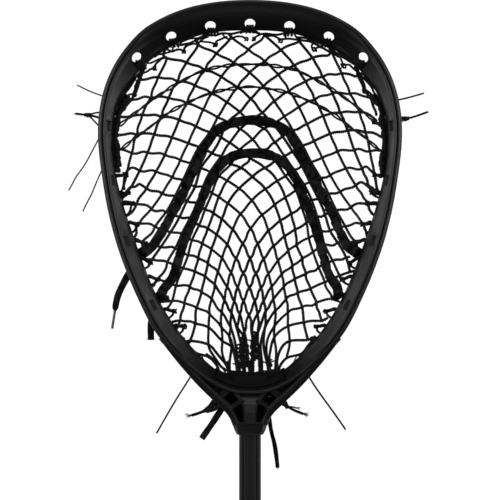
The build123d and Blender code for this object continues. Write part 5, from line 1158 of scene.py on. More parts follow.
TOP_RIGHT = [
    (2.0, 0.5, [(252.2, 25.6), (254.1, 29.7), (256.6, 31.7), (260.2, 33.7)]),
    (2.2, 0.3, [(250, 31.8), (255, 32.2), (260, 34.0), (265, 33.7), (270.4, 34.2), (275.5, 34.8), (280.6, 34.2),
                (285.7, 33.2), (289.6, 34.2)]),
    (2.0, 0.3, [(253.6, 38.6), (256.8, 36.2), (260.4, 34.6)]),
    (2.0, 0.2, [(289, 28.2), (288.5, 32.2), (287.8, 34.8)]),
    (2.0, 0.5, [(291.8, 27.6), (293.4, 32.2), (295.4, 35.8), (297.4, 38.3)]),
    (2.2, 0.1, [(264.6, 35.6), (269.0, 35.8), (273, 35.8), (276.5, 37.3), (279, 38.6), (281.4, 39.3), (285.7, 38.8),
                (289.8, 38.8), (293.9, 39.3), (297.4, 39.8)]),
    (1.9, 0.2, [(285.9, 34.4), (285.6, 36.6), (285.9, 38.8)]),
    (2.3, 0.2, [(297.5, 39.0), (303.6, 40.6), (308.7, 41.2), (313.8, 43.2), (318.9, 45.8), (323.5, 48.3),
                (326.5, 50.2), (331.0, 52.4), (336.6, 55.2), (341.6, 58.2)]),
    (2.2, 0.8, [(297.0, 37.3), (304.1, 37.8), (310.2, 39.3), (316.3, 41.9), (321.4, 43.9), (325, 44.8),
                (328.6, 47.6)]),
    (2.1, 0.0, [(327.4, 38.0), (326.6, 41.6), (325.3, 44.6), (321.6, 46.0)]),
    (2.2, 0.6, [(330.6, 38.8), (329.2, 43.2), (328.9, 46.8), (330.4, 50.4), (333.8, 53.2)]),
    (2.1, 0.6, [(330.2, 48.4), (333.4, 50.6), (336.8, 53.0), (340.6, 54.3), (345.2, 56.4), (350.8, 59.4), (355.9, 62.6),
                (359.6, 64.4)]),
    (2.2, 0.1, [(336.6, 56.4), (341.0, 56.8), (345.2, 58.6), (348.8, 61.0), (353.9, 64.0), (358.2, 67.2)]),
    (2.0, 0.2, [(340.6, 58.4), (342.3, 62.2), (344.2, 64.8), (348.8, 64.7), (352.3, 67.6), (355.9, 70.6),
                (359.2, 72.4)]),
    (2.0, 0.4, [(360.8, 59.8), (358.6, 62.6), (355.6, 64.8)]),
    (2.2, 0.7, [(363.3, 61.2), (360.8, 65.0), (358.7, 68.2), (358.4, 71.6), (360.2, 74.4)]),
    (2.2, 0.4, [(358.8, 71.9), (361, 75.3), (365.1, 79.6), (368.7, 83.7), (371.9, 87.7), (373.6, 91.8),
                (376.6, 95.9), (379.4, 100.2)]),
    (2.1, 0.9, [(361, 72.2), (364.6, 75.6), (367.4, 79.4), (370.6, 83.4), (373.6, 86.6), (377.2, 91.6),
                (380.2, 96.8), (382.0, 102.6)]),
    (2.1, -0.2, [(359.4, 75.2), (363.0, 81.2), (364.8, 86.2), (366.0, 90.2), (369.2, 92.3), (372.2, 95.9),
                 (374.0, 100.0), (377.4, 103.6), (381.4, 106.6)]),
    (2.0, 0.3, [(368.0, 98.4), (371.2, 96.0), (375.2, 97.6), (378.6, 101.0)]),
    (1.9, 0.1, [(312.2, 48.8), (311.7, 45.2), (313.8, 43.6)]),
    (2.1, 0.0, [(314.9, 49.2), (317.6, 47.4), (320.4, 47.3), (324, 48.8), (328.0, 50.8)]),
]
TOP_KNOTS = [(183.6, 51.6, 3.0), (154.5, 68.3, 3.4), (215.4, 44.8, 3.2), (246.3, 39.0, 3.2), (280.4, 41.0, 3.6),
             (314.5, 49.4, 3.6), (343.5, 66.0, 3.8), (364.6, 91.4, 3.8), (253.9, 39.0, 3.0),
             (134.4, 95.0, 3.4), (374.2, 122.0, 4.0), (378.6, 101.6, 4.2), (366.8, 91.8, 2.6)]

top_bits = Bits()
for w, lift, pts in TOP_LEFT + TOP_RIGHT:
    line = draped(pts, lift, 0.7)
    n = net_normal(np.linspace(pts[0][0], pts[-1][0], len(line)),
                   np.linspace(pts[0][1], pts[-1][1], len(line)))
    plait(top_bits, line, w * 1.16, 6.4, (0.0, -1.0, 0.05), 6, random.uniform(0, 6.28), 0.72)
# the turns of the string that come out of each hole over the scoop's lip
for u, v, lean in ((137.5, 59.0, 2.6), (171.5, 37.5, 1.8), (210.5, 26.5, 0.8), (250.0, 23.6, 0.0),
                   (289.5, 26.5, -0.8), (328.5, 37.5, -1.8), (362.5, 59.0, -2.6)):
    for k, dx in enumerate((-2.7, 0.0, 2.7)):
        pts = [(u + dx * 0.9 + lean * 0.4, v + 1.3), (u + dx + lean * 0.9, v + 4.6),
               (u + dx * 1.15 + lean * 1.4, v + 7.4), (u + dx * 1.5 + lean * 1.9, v + 9.8)]
        plait(top_bits, draped(pts, 0.3 + 0.2 * k + (4.5 if abs(u - REF) > 100 else 0.0), 0.6), 3.0, 5.6, (0.0, -1.0, 0.05), 6, 1.7 * k + u, 0.75)
for k, (u, v, size) in enumerate(TOP_KNOTS):
    c = spot(np.array([u]), np.array([v]), surface_y(np.array([u]), np.array([v])) - 0.8)[0]
    knot(top_bits, c, size, 0.72, k)
ob = top_bits.make("scoop_string", STRING)
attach(ob, "stick")
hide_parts("top_string")


# ------------------------------------------------------------ side wall strings
# Height of each place along the side wall and how far the string there reaches
# in from the rim's inner edge.
BAND_LEFT = [(93, 2.0, 8.0), (100, 1.2, 7.6), (106, 1.0, 9.4), (111, 1.0, 6.0), (117, 1.2, 5.0), (122, 1.0, 7.2),
             (128, 0.8, 6.0), (133, 0.6, 5.4), (139, 0.6, 4.6), (145, 0.6, 7.4), (151, 0.6, 6.8), (157, 0.6, 7.0),
             (163, 0.5, 7.0), (169, 0.5, 5.6), (174, 0.3, 4.6)]
BAND_RIGHT = [(93, 1.6, 7.6), (100, 1.2, 7.4), (106, 1.0, 4.4), (112, 1.0, 4.4), (117, 1.0, 7.0), (123, 1.0, 7.6),
              (129, 0.8, 5.6), (135, 0.6, 6.0), (140, 0.6, 4.6), (146, 0.6, 4.8), (152, 0.6, 6.0), (158, 0.5, 7.4),
              (164, 0.5, 7.2), (170, 0.4, 5.4), (175, 0.3, 3.6)]


def inner_at(v):
    return REF + float(half_widths(np.array([v]))[0])


def side_spot(side, v, off, y):
    """A place off mm in from the rim's inner edge."""
    hw = float(half_widths(np.array([v]))[0])
    dv = float(half_widths(np.array([v + 1.0]))[0]) - hw
    n = np.array([-1.0, dv]) / math.hypot(1.0, dv)
    u, w = REF + side * (hw + n[0] * off), v + n[1] * off
    return place(u, w, y)


def side_band(bits, side, band, seed):
    rnd = random.Random(seed)
    v0, v1 = band[0][0], band[-1][0]
    vs = np.arange(v0, v1, 0.7)
    lo = np.interp(vs, [b[0] for b in band], [b[1] for b in band])
    hi = np.interp(vs, [b[0] for b in band], [b[2] for b in band])
    for k, (w, turns) in enumerate(((2.7, 9.0), (2.6, 7.4), (2.5, 11.0), (2.5, 5.0), (2.6, 13.0), (2.5, 3.2),
                                    (2.4, 6.2), (3.0, 0.0))):
        ph = rnd.uniform(0, 6.28)
        ph2 = rnd.uniform(0, 6.28)
        a = 0.5 + 0.5 * np.sin(2 * np.pi * turns * (vs - v0) / (v1 - v0) + ph)
        a = np.clip(a * 0.8 + 0.2 * (0.5 + 0.5 * np.sin(vs * 1.1 + ph2)), 0, 1)
        off = lo + 1.0 + (hi - lo - 2.0) * a if turns else lo + 0.4 + 0.4 * np.sin(vs * 0.6)
        y = BACK_Y - 3.2 + 2.4 * np.cos(2 * np.pi * turns * (vs - v0) / (v1 - v0) + ph) * (1 - 0.13 * k)
        line = np.array([side_spot(side, v, o, q) for v, o, q in zip(vs, off, y)])
        plait(bits, smooth_line(line[::3], 0.75), w * 1.16, 6.6, (0, -1, 0), 6, ph, 0.75)
    for v in np.arange(v0 + 4, v1 - 2, 9.5):
        h = float(np.interp(v, vs, hi))
        c = side_spot(side, v + rnd.uniform(-2, 2), h * rnd.uniform(0.45, 0.75), BACK_Y - 4.5)
        knot(bits, c, rnd.uniform(2.6, 3.4), 0.62, seed * 50 + int(v))


# Below the band the string shows only where it comes round the rim's inner edge
# to a knot of the net: (row on the rim, the knot, row where it goes back)
TIES_LEFT = [(175.0, (125.6, 174.6), 191.5), (193.0, (128.2, 192.6), 197.5), (203.2, (132.6, 203.4), 214.6),
             (222.0, (137.2, 224.4), 232.0), (239.4, (145.0, 243.4), 249.6), (258.0, (150.6, 262.8), 268.2),
             (276.0, (158.0, 279.4), 284.6), (294.2, (166.8, 298.0), 302.0), (309.0, (174.4, 311.2), 317.6),
             (325.4, (184.2, 326.4), 333.0)]
TIES_RIGHT = flip_ties = [(a, (2 * REF - n[0], n[1]), b) for a, n, b in TIES_LEFT]


def side_ties(bits, side, ties, seed):
    rnd = random.Random(seed)
    last = None
    for a, (u, v), b in ties:
        p_in = side_spot(side, a, -2.4, BACK_Y + 1.5)
        p_edge = side_spot(side, a, 1.6, BACK_Y - 1.0)
        q_in = side_spot(side, b, -2.4, BACK_Y + 1.5)
        q_edge = side_spot(side, b, 1.4, BACK_Y - 1.0)
        y = float(net_y(np.array([u]), np.array([v]))[0])
        c = place(u, v, y - 1.2)
        d = place(u + side * 0.8, v + 1.6, y + 0.8)
        for off in (0.0, 1.7):
            shift = np.array([0.0, 0.7 * off, -off])
            line = smooth_line([p_in + shift, p_edge + shift, (p_edge + c) / 2 + shift * 0.8, c + shift * 0.5, d,
                                (d + q_edge) / 2 + np.array([side * -0.6, 0, 0]), q_edge, q_in], 0.75)
            plait(bits, line, 2.5, 6.4, (0, -1, 0), 6, rnd.uniform(0, 6), 0.75)
        knot(bits, c + np.array([0, -0.6, 0]), rnd.uniform(3.2, 3.9), 0.75, seed * 31 + int(a))
        if last is not None:
            mid = [side_spot(side, last + (a - last) * f, -2.6, BACK_Y + 1.5) for f in (0.3, 0.7)]
            line = smooth_line([side_spot(side, last, -2.4, BACK_Y + 1.5)] + mid + [p_in], 0.75)
            plait(bits, line, 2.4, 6.4, (0, -1, 0), 6, rnd.uniform(0, 6), 0.75)
        last = b
    line = smooth_line([side_spot(side, last + 6.0 * f, -2.4 + 2.6 * f, BACK_Y + 1.5 - 1.2 * f) for f in (0, 0.3, 0.7, 1)],
                       0.75)
    plait(bits, line, 2.1, 6.4, (0, -1, 0), 6, 0.0, 0.75)


for name, side, band, ties, seed in (("sidewall_string_left", -1, BAND_LEFT, TIES_LEFT, 11),
                                     ("sidewall_string_right", 1, BAND_RIGHT, TIES_RIGHT, 12)):
    b = Bits()
    side_band(b, side, band, seed)
    side_ties(b, side, ties, seed)
    ob = b.make(name.replace("string", "lacing"), STRING)
    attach(ob, "stick")
    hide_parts(name)

# --------------------------------------------------------------- bottom string
BOTTOM = [
    (3.1, 0.6, [(184.6, 340.6), (187, 344.6), (191, 348.6), (197, 353.4), (205, 355.6), (212, 359.6), (217, 366),
                (220.0, 373.6)]),
    (2.4, 0.2, [(206, 353.4), (214.6, 360), (221, 366), (226, 372.6)]),
    (1.4, 1.0, [(201.4, 355.2), (203.4, 359.4), (205.4, 363.6)]),
    (3.1, 0.6, [(315.4, 335.6), (312, 340.6), (307, 347.2), (301.6, 353.6), (293, 356), (286, 358.6), (280.6, 365),
                (277.2, 373)]),
    (1.4, 1.0, [(297, 355.4), (295, 359.4), (293, 363.4)]),
    (2.4, 0.4, [(217.0, 371.6), (226, 374.6), (237, 376.8), (250, 377.6), (263, 376.8), (274, 374.4), (283, 371.0)]),
    (2.4, 1.2, [(215.4, 368.4), (225, 373.6), (238, 375.0), (250, 375.4), (262, 375.2), (275, 372.6), (284.6, 368.2)]),
    (2.2, -0.4, [(221, 366.2), (230, 371.6), (241, 373.4), (252, 372.6), (264, 373.2), (276, 368.8)]),
]
bottom_bits = Bits()
for k, (w, lift, pts) in enumerate(BOTTOM):
    q = smooth_line(pts, 0.7)
    u, v = q[:, 0], q[:, 1]
    y = np.maximum(net_y(u, v) - lift, BACK_Y - 4.0)
    plait(bottom_bits, spot(u, v, y), w * 0.98, 7.0, (0, -1, 0), 6, k * 1.3, 0.75)
# the string's many turns through the gathered net: (place above, place below, swing)
TURNS = [((243.8, 341), (244.6, 373), 1.0), ((256.4, 331), (255.0, 361), 2.3), ((252.2, 341), (251.4, 375), 1.5),
         ((259.5, 350), (260.9, 375), 1.8), ((238.4, 344), (237.8, 375), 2.0), ((228.0, 361), (228.6, 375), 0.8),
         ((270.4, 359), (270.0, 375), 1.5), ((277.0, 356), (276.6, 373), 1.0), ((247.6, 345), (247.8, 364), 1.1),
         ((264.6, 371), (264.8, 376), 1.3), ((232.2, 372), (232.8, 376), 1.2), ((253.4, 350), (253.0, 376), 0.8),
         ((256.4, 371.6), (256.4, 376), 1.3), ((247.8, 371.6), (247.8, 376), 1.1), ((242.2, 371), (242.2, 376), 0.9)]
rnd = random.Random(44)


def net_front(u, v, lift):
    return np.minimum(net_y(u, v), BACK_Y + 30.0) - lift


for k, (top, low, swing) in enumerate(TURNS):
    n = int((low[1] - top[1]) / 0.5)
    v = np.linspace(top[1], low[1], n)
    mid = np.linspace(top[0], low[0], n)
    for j in range(3):
        ph = rnd.uniform(0, 6.28)
        pitch = rnd.uniform(6.0, 8.5)
        u = mid + swing * np.sin(2 * np.pi * v / pitch + ph) + 0.25 * np.sin(v * 1.9 + ph)
        lift = 1.0 + 1.1 * np.cos(2 * np.pi * v / pitch + ph + j)
        plait(bottom_bits, spot(u, v, net_front(u, v, lift)), 1.9, 5.6, (0, -1, 0), 5, ph, 0.75)
LINKS = [[(239.0, 344.0), (243, 345.4), (248.4, 344.2)], [(236.0, 351.4), (241, 352.8), (246.6, 351.4)],
         [(232.6, 363.4), (239, 364.8), (246.0, 363.6)], [(240.6, 360.6), (246.4, 361.8), (252.6, 360.4)],
         [(245.8, 339.4), (251, 340.2), (256.4, 338.6)], [(250.0, 347.0), (255, 348.0), (260.4, 346.4)],
         [(251.6, 355.4), (257, 356.6), (262.4, 355.0)], [(262.0, 361.4), (268, 362.6), (274.4, 360.6)],
         [(228.2, 369.6), (234, 371.2), (240.0, 370.0)], [(258.4, 369.6), (264, 371.0), (270.6, 369.6)]]
for k, q in enumerate(LINKS):
    q = smooth_line(q, 0.7)
    plait(bottom_bits, spot(q[:, 0], q[:, 1], net_front(q[:, 0], q[:, 1], 1.8)), 1.8, 5.4, (0, -1, 0), 5, k, 0.75)
for k, (u, v) in enumerate([(229.4, 373.2), (237.2, 374.2), (244.4, 375.0), (252.0, 375.2), (260.2, 374.8),
                            (268.2, 373.8), (274.8, 371.4), (248.2, 365.0), (243.4, 357.0), (255.6, 351.4),
                            (256.2, 337.0), (252.8, 344.6), (233.4, 375.0), (264.4, 375.2), (240.8, 375.2),
                            (256.2, 375.8)]):
    c = spot(np.array([u]), np.array([v]), net_front(np.array([u]), np.array([v]), 1.4))[0]
    knot(bottom_bits, c, rnd.uniform(3.4, 4.4), 0.72, 300 + k)

# string ends tied off behind the openings of the throat
TIED = [(225.4, 397.4, 5.0), (230.6, 399.6, 6.0), (236.0, 402.4, 5.6), (233.0, 395.8, 5.4), (239.2, 404.4, 4.6),
        (228.4, 402.8, 5.2), (233.8, 406.2, 5.0), (226.6, 393.4, 4.2), (237.4, 398.6, 4.8), (241.0, 400.4, 3.8),
        (262.0, 402.6, 5.0), (267.0, 403.4, 5.6), (272.0, 402.2, 5.4), (275.0, 397.4, 5.0), (267.8, 407.4, 4.8),
        (272.6, 394.0, 4.0), (260.6, 398.0, 3.6), (265.4, 394.6, 3.0), (277.0, 401.0, 4.0), (270.6, 399.8, 3.4),
        (230.2, 391.4, 3.4), (227.8, 395.0, 4.2), (232.6, 393.2, 3.0), (269.8, 391.6, 3.6), (263.2, 395.8, 2.6),
        (261.4, 400.6, 4.0), (266.6, 400.2, 3.6), (266.4, 395.4, 2.4), (272.2, 397.0, 4.4), (266.9, 391.9, 2.4)]
for k, (u, v, size) in enumerate(TIED):
    for j in range(2):
        c = place(u + rnd.uniform(-0.7, 0.7), v + rnd.uniform(-0.7, 0.7), 15.5 + 2.5 * j)
        knot(bottom_bits, c, size, 1.0, 400 + 7 * k + j)
for k, pts in enumerate([[(220.4, 391.6, 14.0), (227.0, 398.0, 17.0), (235.0, 404.0, 18.0), (242.0, 404.0, 17.0)],
                         [(221.0, 397.0, 16.0), (229.0, 396.0, 18.5), (238.0, 399.0, 17.0)],
                         [(279.4, 392.0, 14.0), (272.0, 399.4, 17.0), (265.0, 405.0, 18.0), (259.0, 405.0, 17.0)],
                         [(280.0, 398.0, 16.0), (273.6, 404.6, 18.5), (264.0, 401.6, 17.0)],
                         [(222.0, 399.6, 19.0), (214.6, 403.0, 19.4), (208.6, 408.0, 19.6), (203.4, 411.6, 20.0)],
                         [(224.0, 402.0, 18.0), (217.4, 407.6, 18.6), (211.6, 410.0, 19.2), (206.0, 411.4, 19.8)],
                         [(220.6, 396.6, 18.0), (214.0, 400.4, 18.6), (210.4, 405.4, 19.4), (205.6, 409.8, 19.8)],
                         [(276.0, 399.0, 18.6), (281.0, 401.4, 19.2), (285.6, 405.4, 19.6), (288.0, 408.0, 20.0)]]):
    plait(bottom_bits, smooth_line([place(*q) for q in pts], 0.6), 2.9 if k < 4 else 4.3, 6.0, (0, -1, 0), 6, k, 0.8)
ob = bottom_bits.make("throat_string", STRING)
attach(ob, "stick")
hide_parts("bottom_string")


# ------------------------------------------------------------ free string ends
def cord_line(route, step=0.6):
    """Points along the smooth spline that has the route for control points."""
    curve = bpy.data.curves.new("route", "CURVE")
    curve.dimensions = "3D"
    spline = curve.splines.new("NURBS")
    spline.points.add(len(route) - 1)
    for q, p in zip(spline.points, route):
        q.co = (*(place(*p) * MM), 1.0)
    spline.order_u = 3
    spline.use_endpoint_u = True
    spline.resolution_u = 24
    ob = bpy.data.objects.new("route", curve)
    bpy.context.scene.collection.objects.link(ob)
    bpy.context.view_layer.update()
    mesh = bpy.data.meshes.new_from_object(ob)
    p = np.array([v.co for v in mesh.vertices]) / MM
    bpy.data.objects.remove(ob)
    bpy.data.curves.remove(curve)
    bpy.data.meshes.remove(mesh)
    s = np.concatenate([[0], np.cumsum(np.linalg.norm(np.diff(p, axis=0), axis=1))])
    n = max(int(s[-1] / step), 8)
    want = np.linspace(0, s[-1], n + 1)
    return np.stack([np.interp(want, s, p[:, k]) for k in range(3)], 1), float(s[-1])


def filaments(bits, end, direction, count, length, spread, r, seed, curl=0.25):
    """Loose fibres that fan out of a cut end."""
    rnd = random.Random(seed)
    d = np.asarray(direction, float)
    d /= np.linalg.norm(d)
    e1 = np.cross(d, (0, 1, 0))
    e1 /= np.linalg.norm(e1)
    e2 = np.cross(e1, d)
    for _ in range(count):
        a, b = rnd.gauss(0, spread), rnd.gauss(0, spread * 0.5)
        n = length * rnd.uniform(0.45, 1.0)
        t = np.linspace(0, 1, 7)[:, None]
        bend = rnd.uniform(-curl, curl)
        start = end - d * 1.2 + e1 * rnd.uniform(-0.5, 0.5) + e2 * rnd.uniform(-0.4, 0.4)
        p = start + d * n * t + e1 * n * (a * t + bend * t * t) + e2 * n * b * t
        tube(bits, p, np.linspace(r, r * 0.55, 7), 4, (0.1, -1, 0.1))


YB = BACK_Y
CORDS = {
    "nylon_end_left": (1.3, [(112.5, 99.6, YB + 1.2), (101.6, 95.7, YB + 1.6), (92.0, 92.2, YB + 2.2),
                             (84.6, 88.9, YB + 2.4), (77.4, 85.2, YB + 2.2)]),
    "knotted_end_left": (2.2, [(109.2, 120.6, YB + 1.6), (103.5, 119.5, YB + 2.0), (96.0, 116.6, YB + 2.6),
                               (88.5, 115.0, YB + 3.0), (81.8, 114.5, YB + 3.2), (75.2, 113.6, YB + 3.0)]),
    "thread_end_left_upper": (1.3, [(103.0, 130.0, YB + 1.6), (98.2, 140.0, YB + 2.0), (92.6, 150.2, YB + 2.6),
                                    (88.2, 159.0, YB + 3.0), (82.6, 168.2, YB + 3.2), (75.6, 177.2, YB + 3.2),
                                    (72.2, 184.4, YB + 3.0), (68.8, 190.2, YB + 2.8)]),
    "thread_end_left_lower": (1.3, [(105.0, 163.6, YB + 1.6), (100.4, 173.2, YB + 2.0), (95.6, 184.2, YB + 2.6),
                                    (91.2, 195.2, YB + 3.0), (86.6, 203.2, YB + 3.0), (83.0, 211.2, YB + 2.8)]),
    "nylon_end_right": (1.6, [(388.0, 101.4, YB + 1.4), (399.6, 99.8, YB + 2.0), (412.0, 96.7, YB + 2.4),
                              (423.8, 93.2, YB + 2.2)]),
    "knotted_end_right": (2.0, [(393.0, 120.6, YB + 2.0), (401.6, 119.2, YB + 2.6), (409.6, 118.1, YB + 3.0),
                                (418.4, 115.4, YB + 3.2), (427.8, 111.9, YB + 3.0)]),
    "lace_end_upper": (7.2, [(134.2, 262.6, YB + 3.2), (127.2, 276.6, YB + 3.2), (119.6, 290.6, YB + 3.2),
                             (116.0, 301.6, YB + 3.2), (114.9, 310.8, YB + 3.2)]),
    "lace_end_lower": (7.0, [(159.4, 297.8, YB + 3.2), (155.8, 304.8, YB + 3.2), (152.2, 316.2, YB + 3.2),
                             (150.6, 328.0, YB + 3.2), (151.0, 339.8, YB + 3.2)]),
    "string_end_low_left": (1.6, [(196.4, 367.4, YB + 1.6), (188.6, 380.0, YB + 2.0), (178.6, 395.4, YB + 2.4),
                                  (166.4, 415.8, YB + 2.6), (156.8, 433.0, YB + 2.4)]),
    "string_end_low_right": (1.7, [(303.8, 368.0, YB + 1.6), (311.0, 380.6, YB + 2.0), (321.6, 396.0, YB + 2.4),
                                   (334.6, 413.6, YB + 2.6), (345.5, 429.4, YB + 2.4)]),
    "frayed_end_left": (2.8, [(222.0, 400.0, YB - 2.0), (214.0, 405.4, YB - 1.2), (206.6, 409.8, YB - 0.6),
                              (199.2, 413.2, YB - 0.6), (191.4, 415.4, YB - 1.0)]),
    "lace_end_throat_left": (6.0, [(227.0, 401.0, YB + 1.0), (220.0, 411.4, YB + 1.0), (211.4, 424.8, YB + 1.0),
                                   (201.8, 438.4, YB + 1.0)]),
    "frayed_end_right": (2.6, [(276.8, 394.8, YB - 2.4), (280.4, 399.4, YB - 1.8), (284.6, 403.8, YB - 1.2),
                               (290.4, 408.4, YB - 0.6), (297.0, 411.6, YB - 0.6), (303.4, 413.9, YB - 1.0)]),
    "lace_end_throat_right": (3.4, [(267.4, 408.0, YB - 1.0), (269.4, 420.0, YB - 0.4), (271.4, 432.6, YB + 0.2),
                                    (275.6, 447.4, YB + 0.4), (277.6, 467.6, YB + 0.2)]),
}
LOOK = {
    "nylon_end_left": ("twist", NYLON, "nylon_cord", "stiff"),
    "knotted_end_left": ("plait", STRING, "string_cord", "medium"),
    "thread_end_left_upper": ("twist", STRING, "string_cord", "stiff"),
    "thread_end_left_lower": ("twist", STRING, "string_cord", "stiff"),
    "nylon_end_right": ("twist", NYLON, "nylon_cord", "stiff"),
    "knotted_end_right": ("plait", STRING, "string_cord", "medium"),
    "lace_end_upper": ("lace", LACE, "woven_lace", "limp"),
    "lace_end_lower": ("lace", LACE, "woven_lace", "limp"),
    "string_end_low_left": ("twist", STRING, "string_cord", "stiff"),
    "string_end_low_right": ("twist", STRING, "string_cord", "stiff"),
    "frayed_end_left": ("plait", STRING, "string_cord", "medium"),
    "lace_end_throat_left": ("lace", LACE, "woven_lace", "limp"),
    "frayed_end_right": ("plait", STRING, "string_cord", "medium"),
    "lace_end_throat_right": ("pair", LACE, "woven_lace", "limp"),
}
cord_paths, cord_objects = {}, {}
for k, (name, (dia, route)) in enumerate(CORDS.items()):
    style, mat, slot_name, stiffness = LOOK[name]
    line, length = cord_line(route, 0.5)
    b = Bits()
    if style == "lace":
        line, length = cord_line(route, 0.6)
        ribbon(b, line, dia + (0.5 if "throat" in name else -0.1), 1.6, (0, -1, 0), 20 + k,
               tip=6.0 if name == "lace_end_upper" else 0.0)
    elif style == "plait":
        plait(b, line, dia * 1.15, 5.6, (0, -1, 0), 6, k, 0.8)
    elif style == "pair":
        t, e1, e2 = side_frames(line, (0, -1, 0))
        s = np.linspace(0, length, len(line))
        for sgn in (-1, 1):
            off = sgn * (0.92 + 0.14 * np.sin(s / 5.5))
            plait(b, line + e1 * off[:, None] + e2 * (0.35 * sgn * np.cos(s / 8.0))[:, None], 2.65, 4.8,
                  (0, -1, 0), 6, k + sgn, 0.8)
    else:
        twist(b, line, dia * 1.3, 4.2, 2, (0, -1, 0), 6, k)
    ob = b.make(name + "_cord", mat)
    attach(ob, "stick")
    cord_paths[name], cord_objects[name] = line, (ob, length, dia, stiffness)

cord_extras = {name: [] for name in CORDS}


def extra(cord, name, bits, mat):
    ob = bits.make(name, mat)
    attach(ob, "stick")
    cord_extras[cord].append(ob)


def at_uv(cord, u, v):
    """The cord's point nearest to (u, v) as seen."""
    p = cord_paths[cord]
    k = (VIEW + p[:, 1]) / VIEW
    d = np.hypot(p[:, 0] / k + REF - u, REF - (p[:, 2] - HEAD_MID_Z) / k - v)
    return p[int(np.argmin(d))]


# knots and doubled strands of the two knotted tails
b = Bits()
knot(b, at_uv("knotted_end_left", 88.5, 115), 3.0, 0.8, 71)
knot(b, at_uv("knotted_end_left", 85.6, 115), 2.4, 0.7, 72)
q = [(104.4, 131.0, YB + 1.4), (99.4, 126.4, YB + 1.8), (94.4, 121.2, YB + 2.4), (90.4, 117.2, YB + 3.0),
     (87.0, 115.4, YB + 3.2)]
plait(b, smooth_line([place(*p) for p in q], 0.6), 1.9, 5.4, (0, -1, 0), 6, 0.4, 0.8)
q = [(106.4, 115.2, YB + 1.4), (101.4, 112.6, YB + 1.8), (95.4, 112.9, YB + 2.6), (90.0, 114.2, YB + 3.2),
     (86.4, 114.6, YB + 3.4)]
plait(b, smooth_line([place(*p) for p in q], 0.6), 1.9, 5.4, (0, -1, 0), 6, 2.4, 0.8)
extra("knotted_end_left", "knotted_end_left_loop", b, STRING)

b = Bits()
knot(b, at_uv("knotted_end_right", 404.0, 119.0), 3.6, 0.8, 73)
knot(b, at_uv("knotted_end_right", 407.0, 118.6), 2.8, 0.7, 74)
q = [(394.0, 116.0, YB + 1.6), (399.0, 116.6, YB + 2.4), (404.6, 118.0, YB + 3.2)]
plait(b, smooth_line([place(*p) for p in q], 0.6), 1.8, 5.4, (0, -1, 0), 6, 0.9, 0.8)
q = [(394.6, 124.6, YB + 1.6), (399.6, 122.6, YB + 2.4), (405.0, 119.6, YB + 3.2)]
plait(b, smooth_line([place(*p) for p in q], 0.6), 1.8, 5.4, (0, -1, 0), 6, 1.9, 0.8)
extra("knotted_end_right", "knotted_end_right_loop", b, STRING)

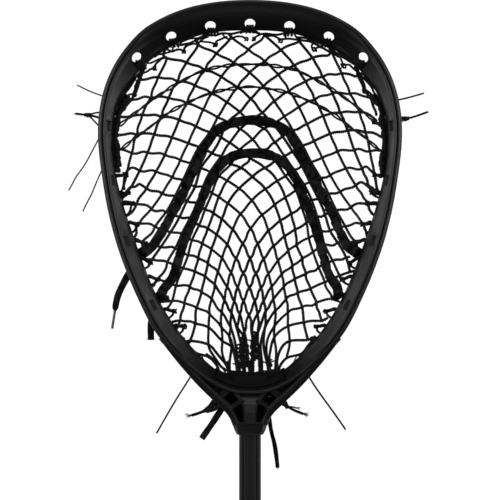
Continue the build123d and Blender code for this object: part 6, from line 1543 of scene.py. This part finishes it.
for name, count, length, spread, r, seed in (
        ("knotted_end_left", 9, 3.6, 0.25, 0.17, 1), ("knotted_end_right", 8, 3.0, 0.22, 0.17, 2),
        ("nylon_end_left", 5, 2.6, 0.18, 0.15, 3), ("nylon_end_right", 5, 2.6, 0.2, 0.16, 4),
        ("thread_end_left_upper", 4, 2.6, 0.2, 0.14, 5), ("thread_end_left_lower", 4, 2.6, 0.2, 0.14, 6),
        ("string_end_low_left", 6, 3.0, 0.22, 0.15, 7), ("string_end_low_right", 6, 3.0, 0.22, 0.15, 8),
        ("frayed_end_left", 26, 8.0, 0.30, 0.20, 9), ("frayed_end_right", 26, 8.0, 0.30, 0.20, 10),
        ("lace_end_throat_right", 10, 3.4, 0.22, 0.17, 12)):
    b = Bits()
    p = cord_paths[name]
    filaments(b, p[-1], p[-1] - p[-6], count, length, spread, r, seed)
    if name == "frayed_end_right":
        q = [(288.6, 406.4, YB - 0.8), (292.4, 406.9, YB - 1.2), (297.4, 408.2, YB - 1.0)]
        side = smooth_line([place(*w) for w in q], 0.6)
        plait(b, side, 1.7, 4.6, (0, -1, 0), 5, 0.2, 0.8)
        filaments(b, side[-1], side[-1] - side[-5], 10, 5.0, 0.3, 0.18, 21)
        knot(b, at_uv(name, 282.6, 405.8), 3.4, 0.8, 75)
        knot(b, at_uv(name, 285.0, 406.2), 2.6, 0.7, 76)
    if name == "frayed_end_left":
        knot(b, at_uv(name, 215.0, 405.0), 2.6, 0.8, 77)
    mat, slot_name = LOOK[name][1], LOOK[name][2]
    extra(name, name + "_fray", b, mat)

for name, seed in (("lace_end_lower", 31), ("lace_end_throat_left", 32)):
    b = Bits()
    p = cord_paths[name]
    d = p[-1] - p[-5]
    d /= np.linalg.norm(d)
    e = np.cross(d, (0, 1, 0))
    for k in range(-4, 5):
        filaments(b, p[-1] + e * k * CORDS[name][0] * 0.11, d, 3, 1.9, 0.22, 0.16, seed + k)
    extra(name, name + "_fray", b, LACE)

# the lace narrows into its tip
b = Bits()
p = cord_paths["lace_end_upper"]
d = p[-1] - p[-4]
d /= np.linalg.norm(d)
tipped = [p[-1] - d * 1.5, p[-1] + d * 0.8, p[-1] + d * 2.6]
neck = smooth_line(tipped, 0.4)
s = np.linspace(0, 1, len(neck))
tube(b, neck, 0.8 + 0.7 * (1 - s) ** 1.4, 18, (0, -1, 0), True, 0.7)
extra("lace_end_upper", "lace_end_upper_neck", b, LACE)
tip_node = bpy.data.objects["lace_aglet"]
cord_extras["lace_end_upper"].append(tip_node)

for name, (ob, length, dia, stiffness) in cord_objects.items():
    p = cord_paths[name] * MM
    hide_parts(name)

# ------------------------------------------------------------- ball stop pad
src = bpy.data.objects["ball_stop"]
pad_mesh = src.data.copy()
pad_mesh.name = "foam_pad"
pad = bpy.data.objects.new("foam_pad", pad_mesh)
bpy.context.scene.collection.objects.link(pad)
pad.data.materials.clear()
pad.data.materials.append(FOAM)
m = pad.modifiers.new("voxels", "REMESH")
m.mode = "VOXEL"
m.voxel_size = 0.0008
m.use_smooth_shade = True
m = pad.modifiers.new("soften", "SMOOTH")
m.factor, m.iterations = 0.6, 3
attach(pad, "stick")
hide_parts("ball_stop")


# ------------------------------------------------------------- carried-over CAD
def dress(node, mat):
    ob = bpy.data.objects[node]
    ob.data.materials.clear()
    ob.data.materials.append(mat)
    return ob


dress("head_frame", PLASTIC)
dress("shaft", SHAFT)
dress("butt_cap", RUBBER)
dress("head_screw", STEEL)
dress("lace_aglet", TIP)
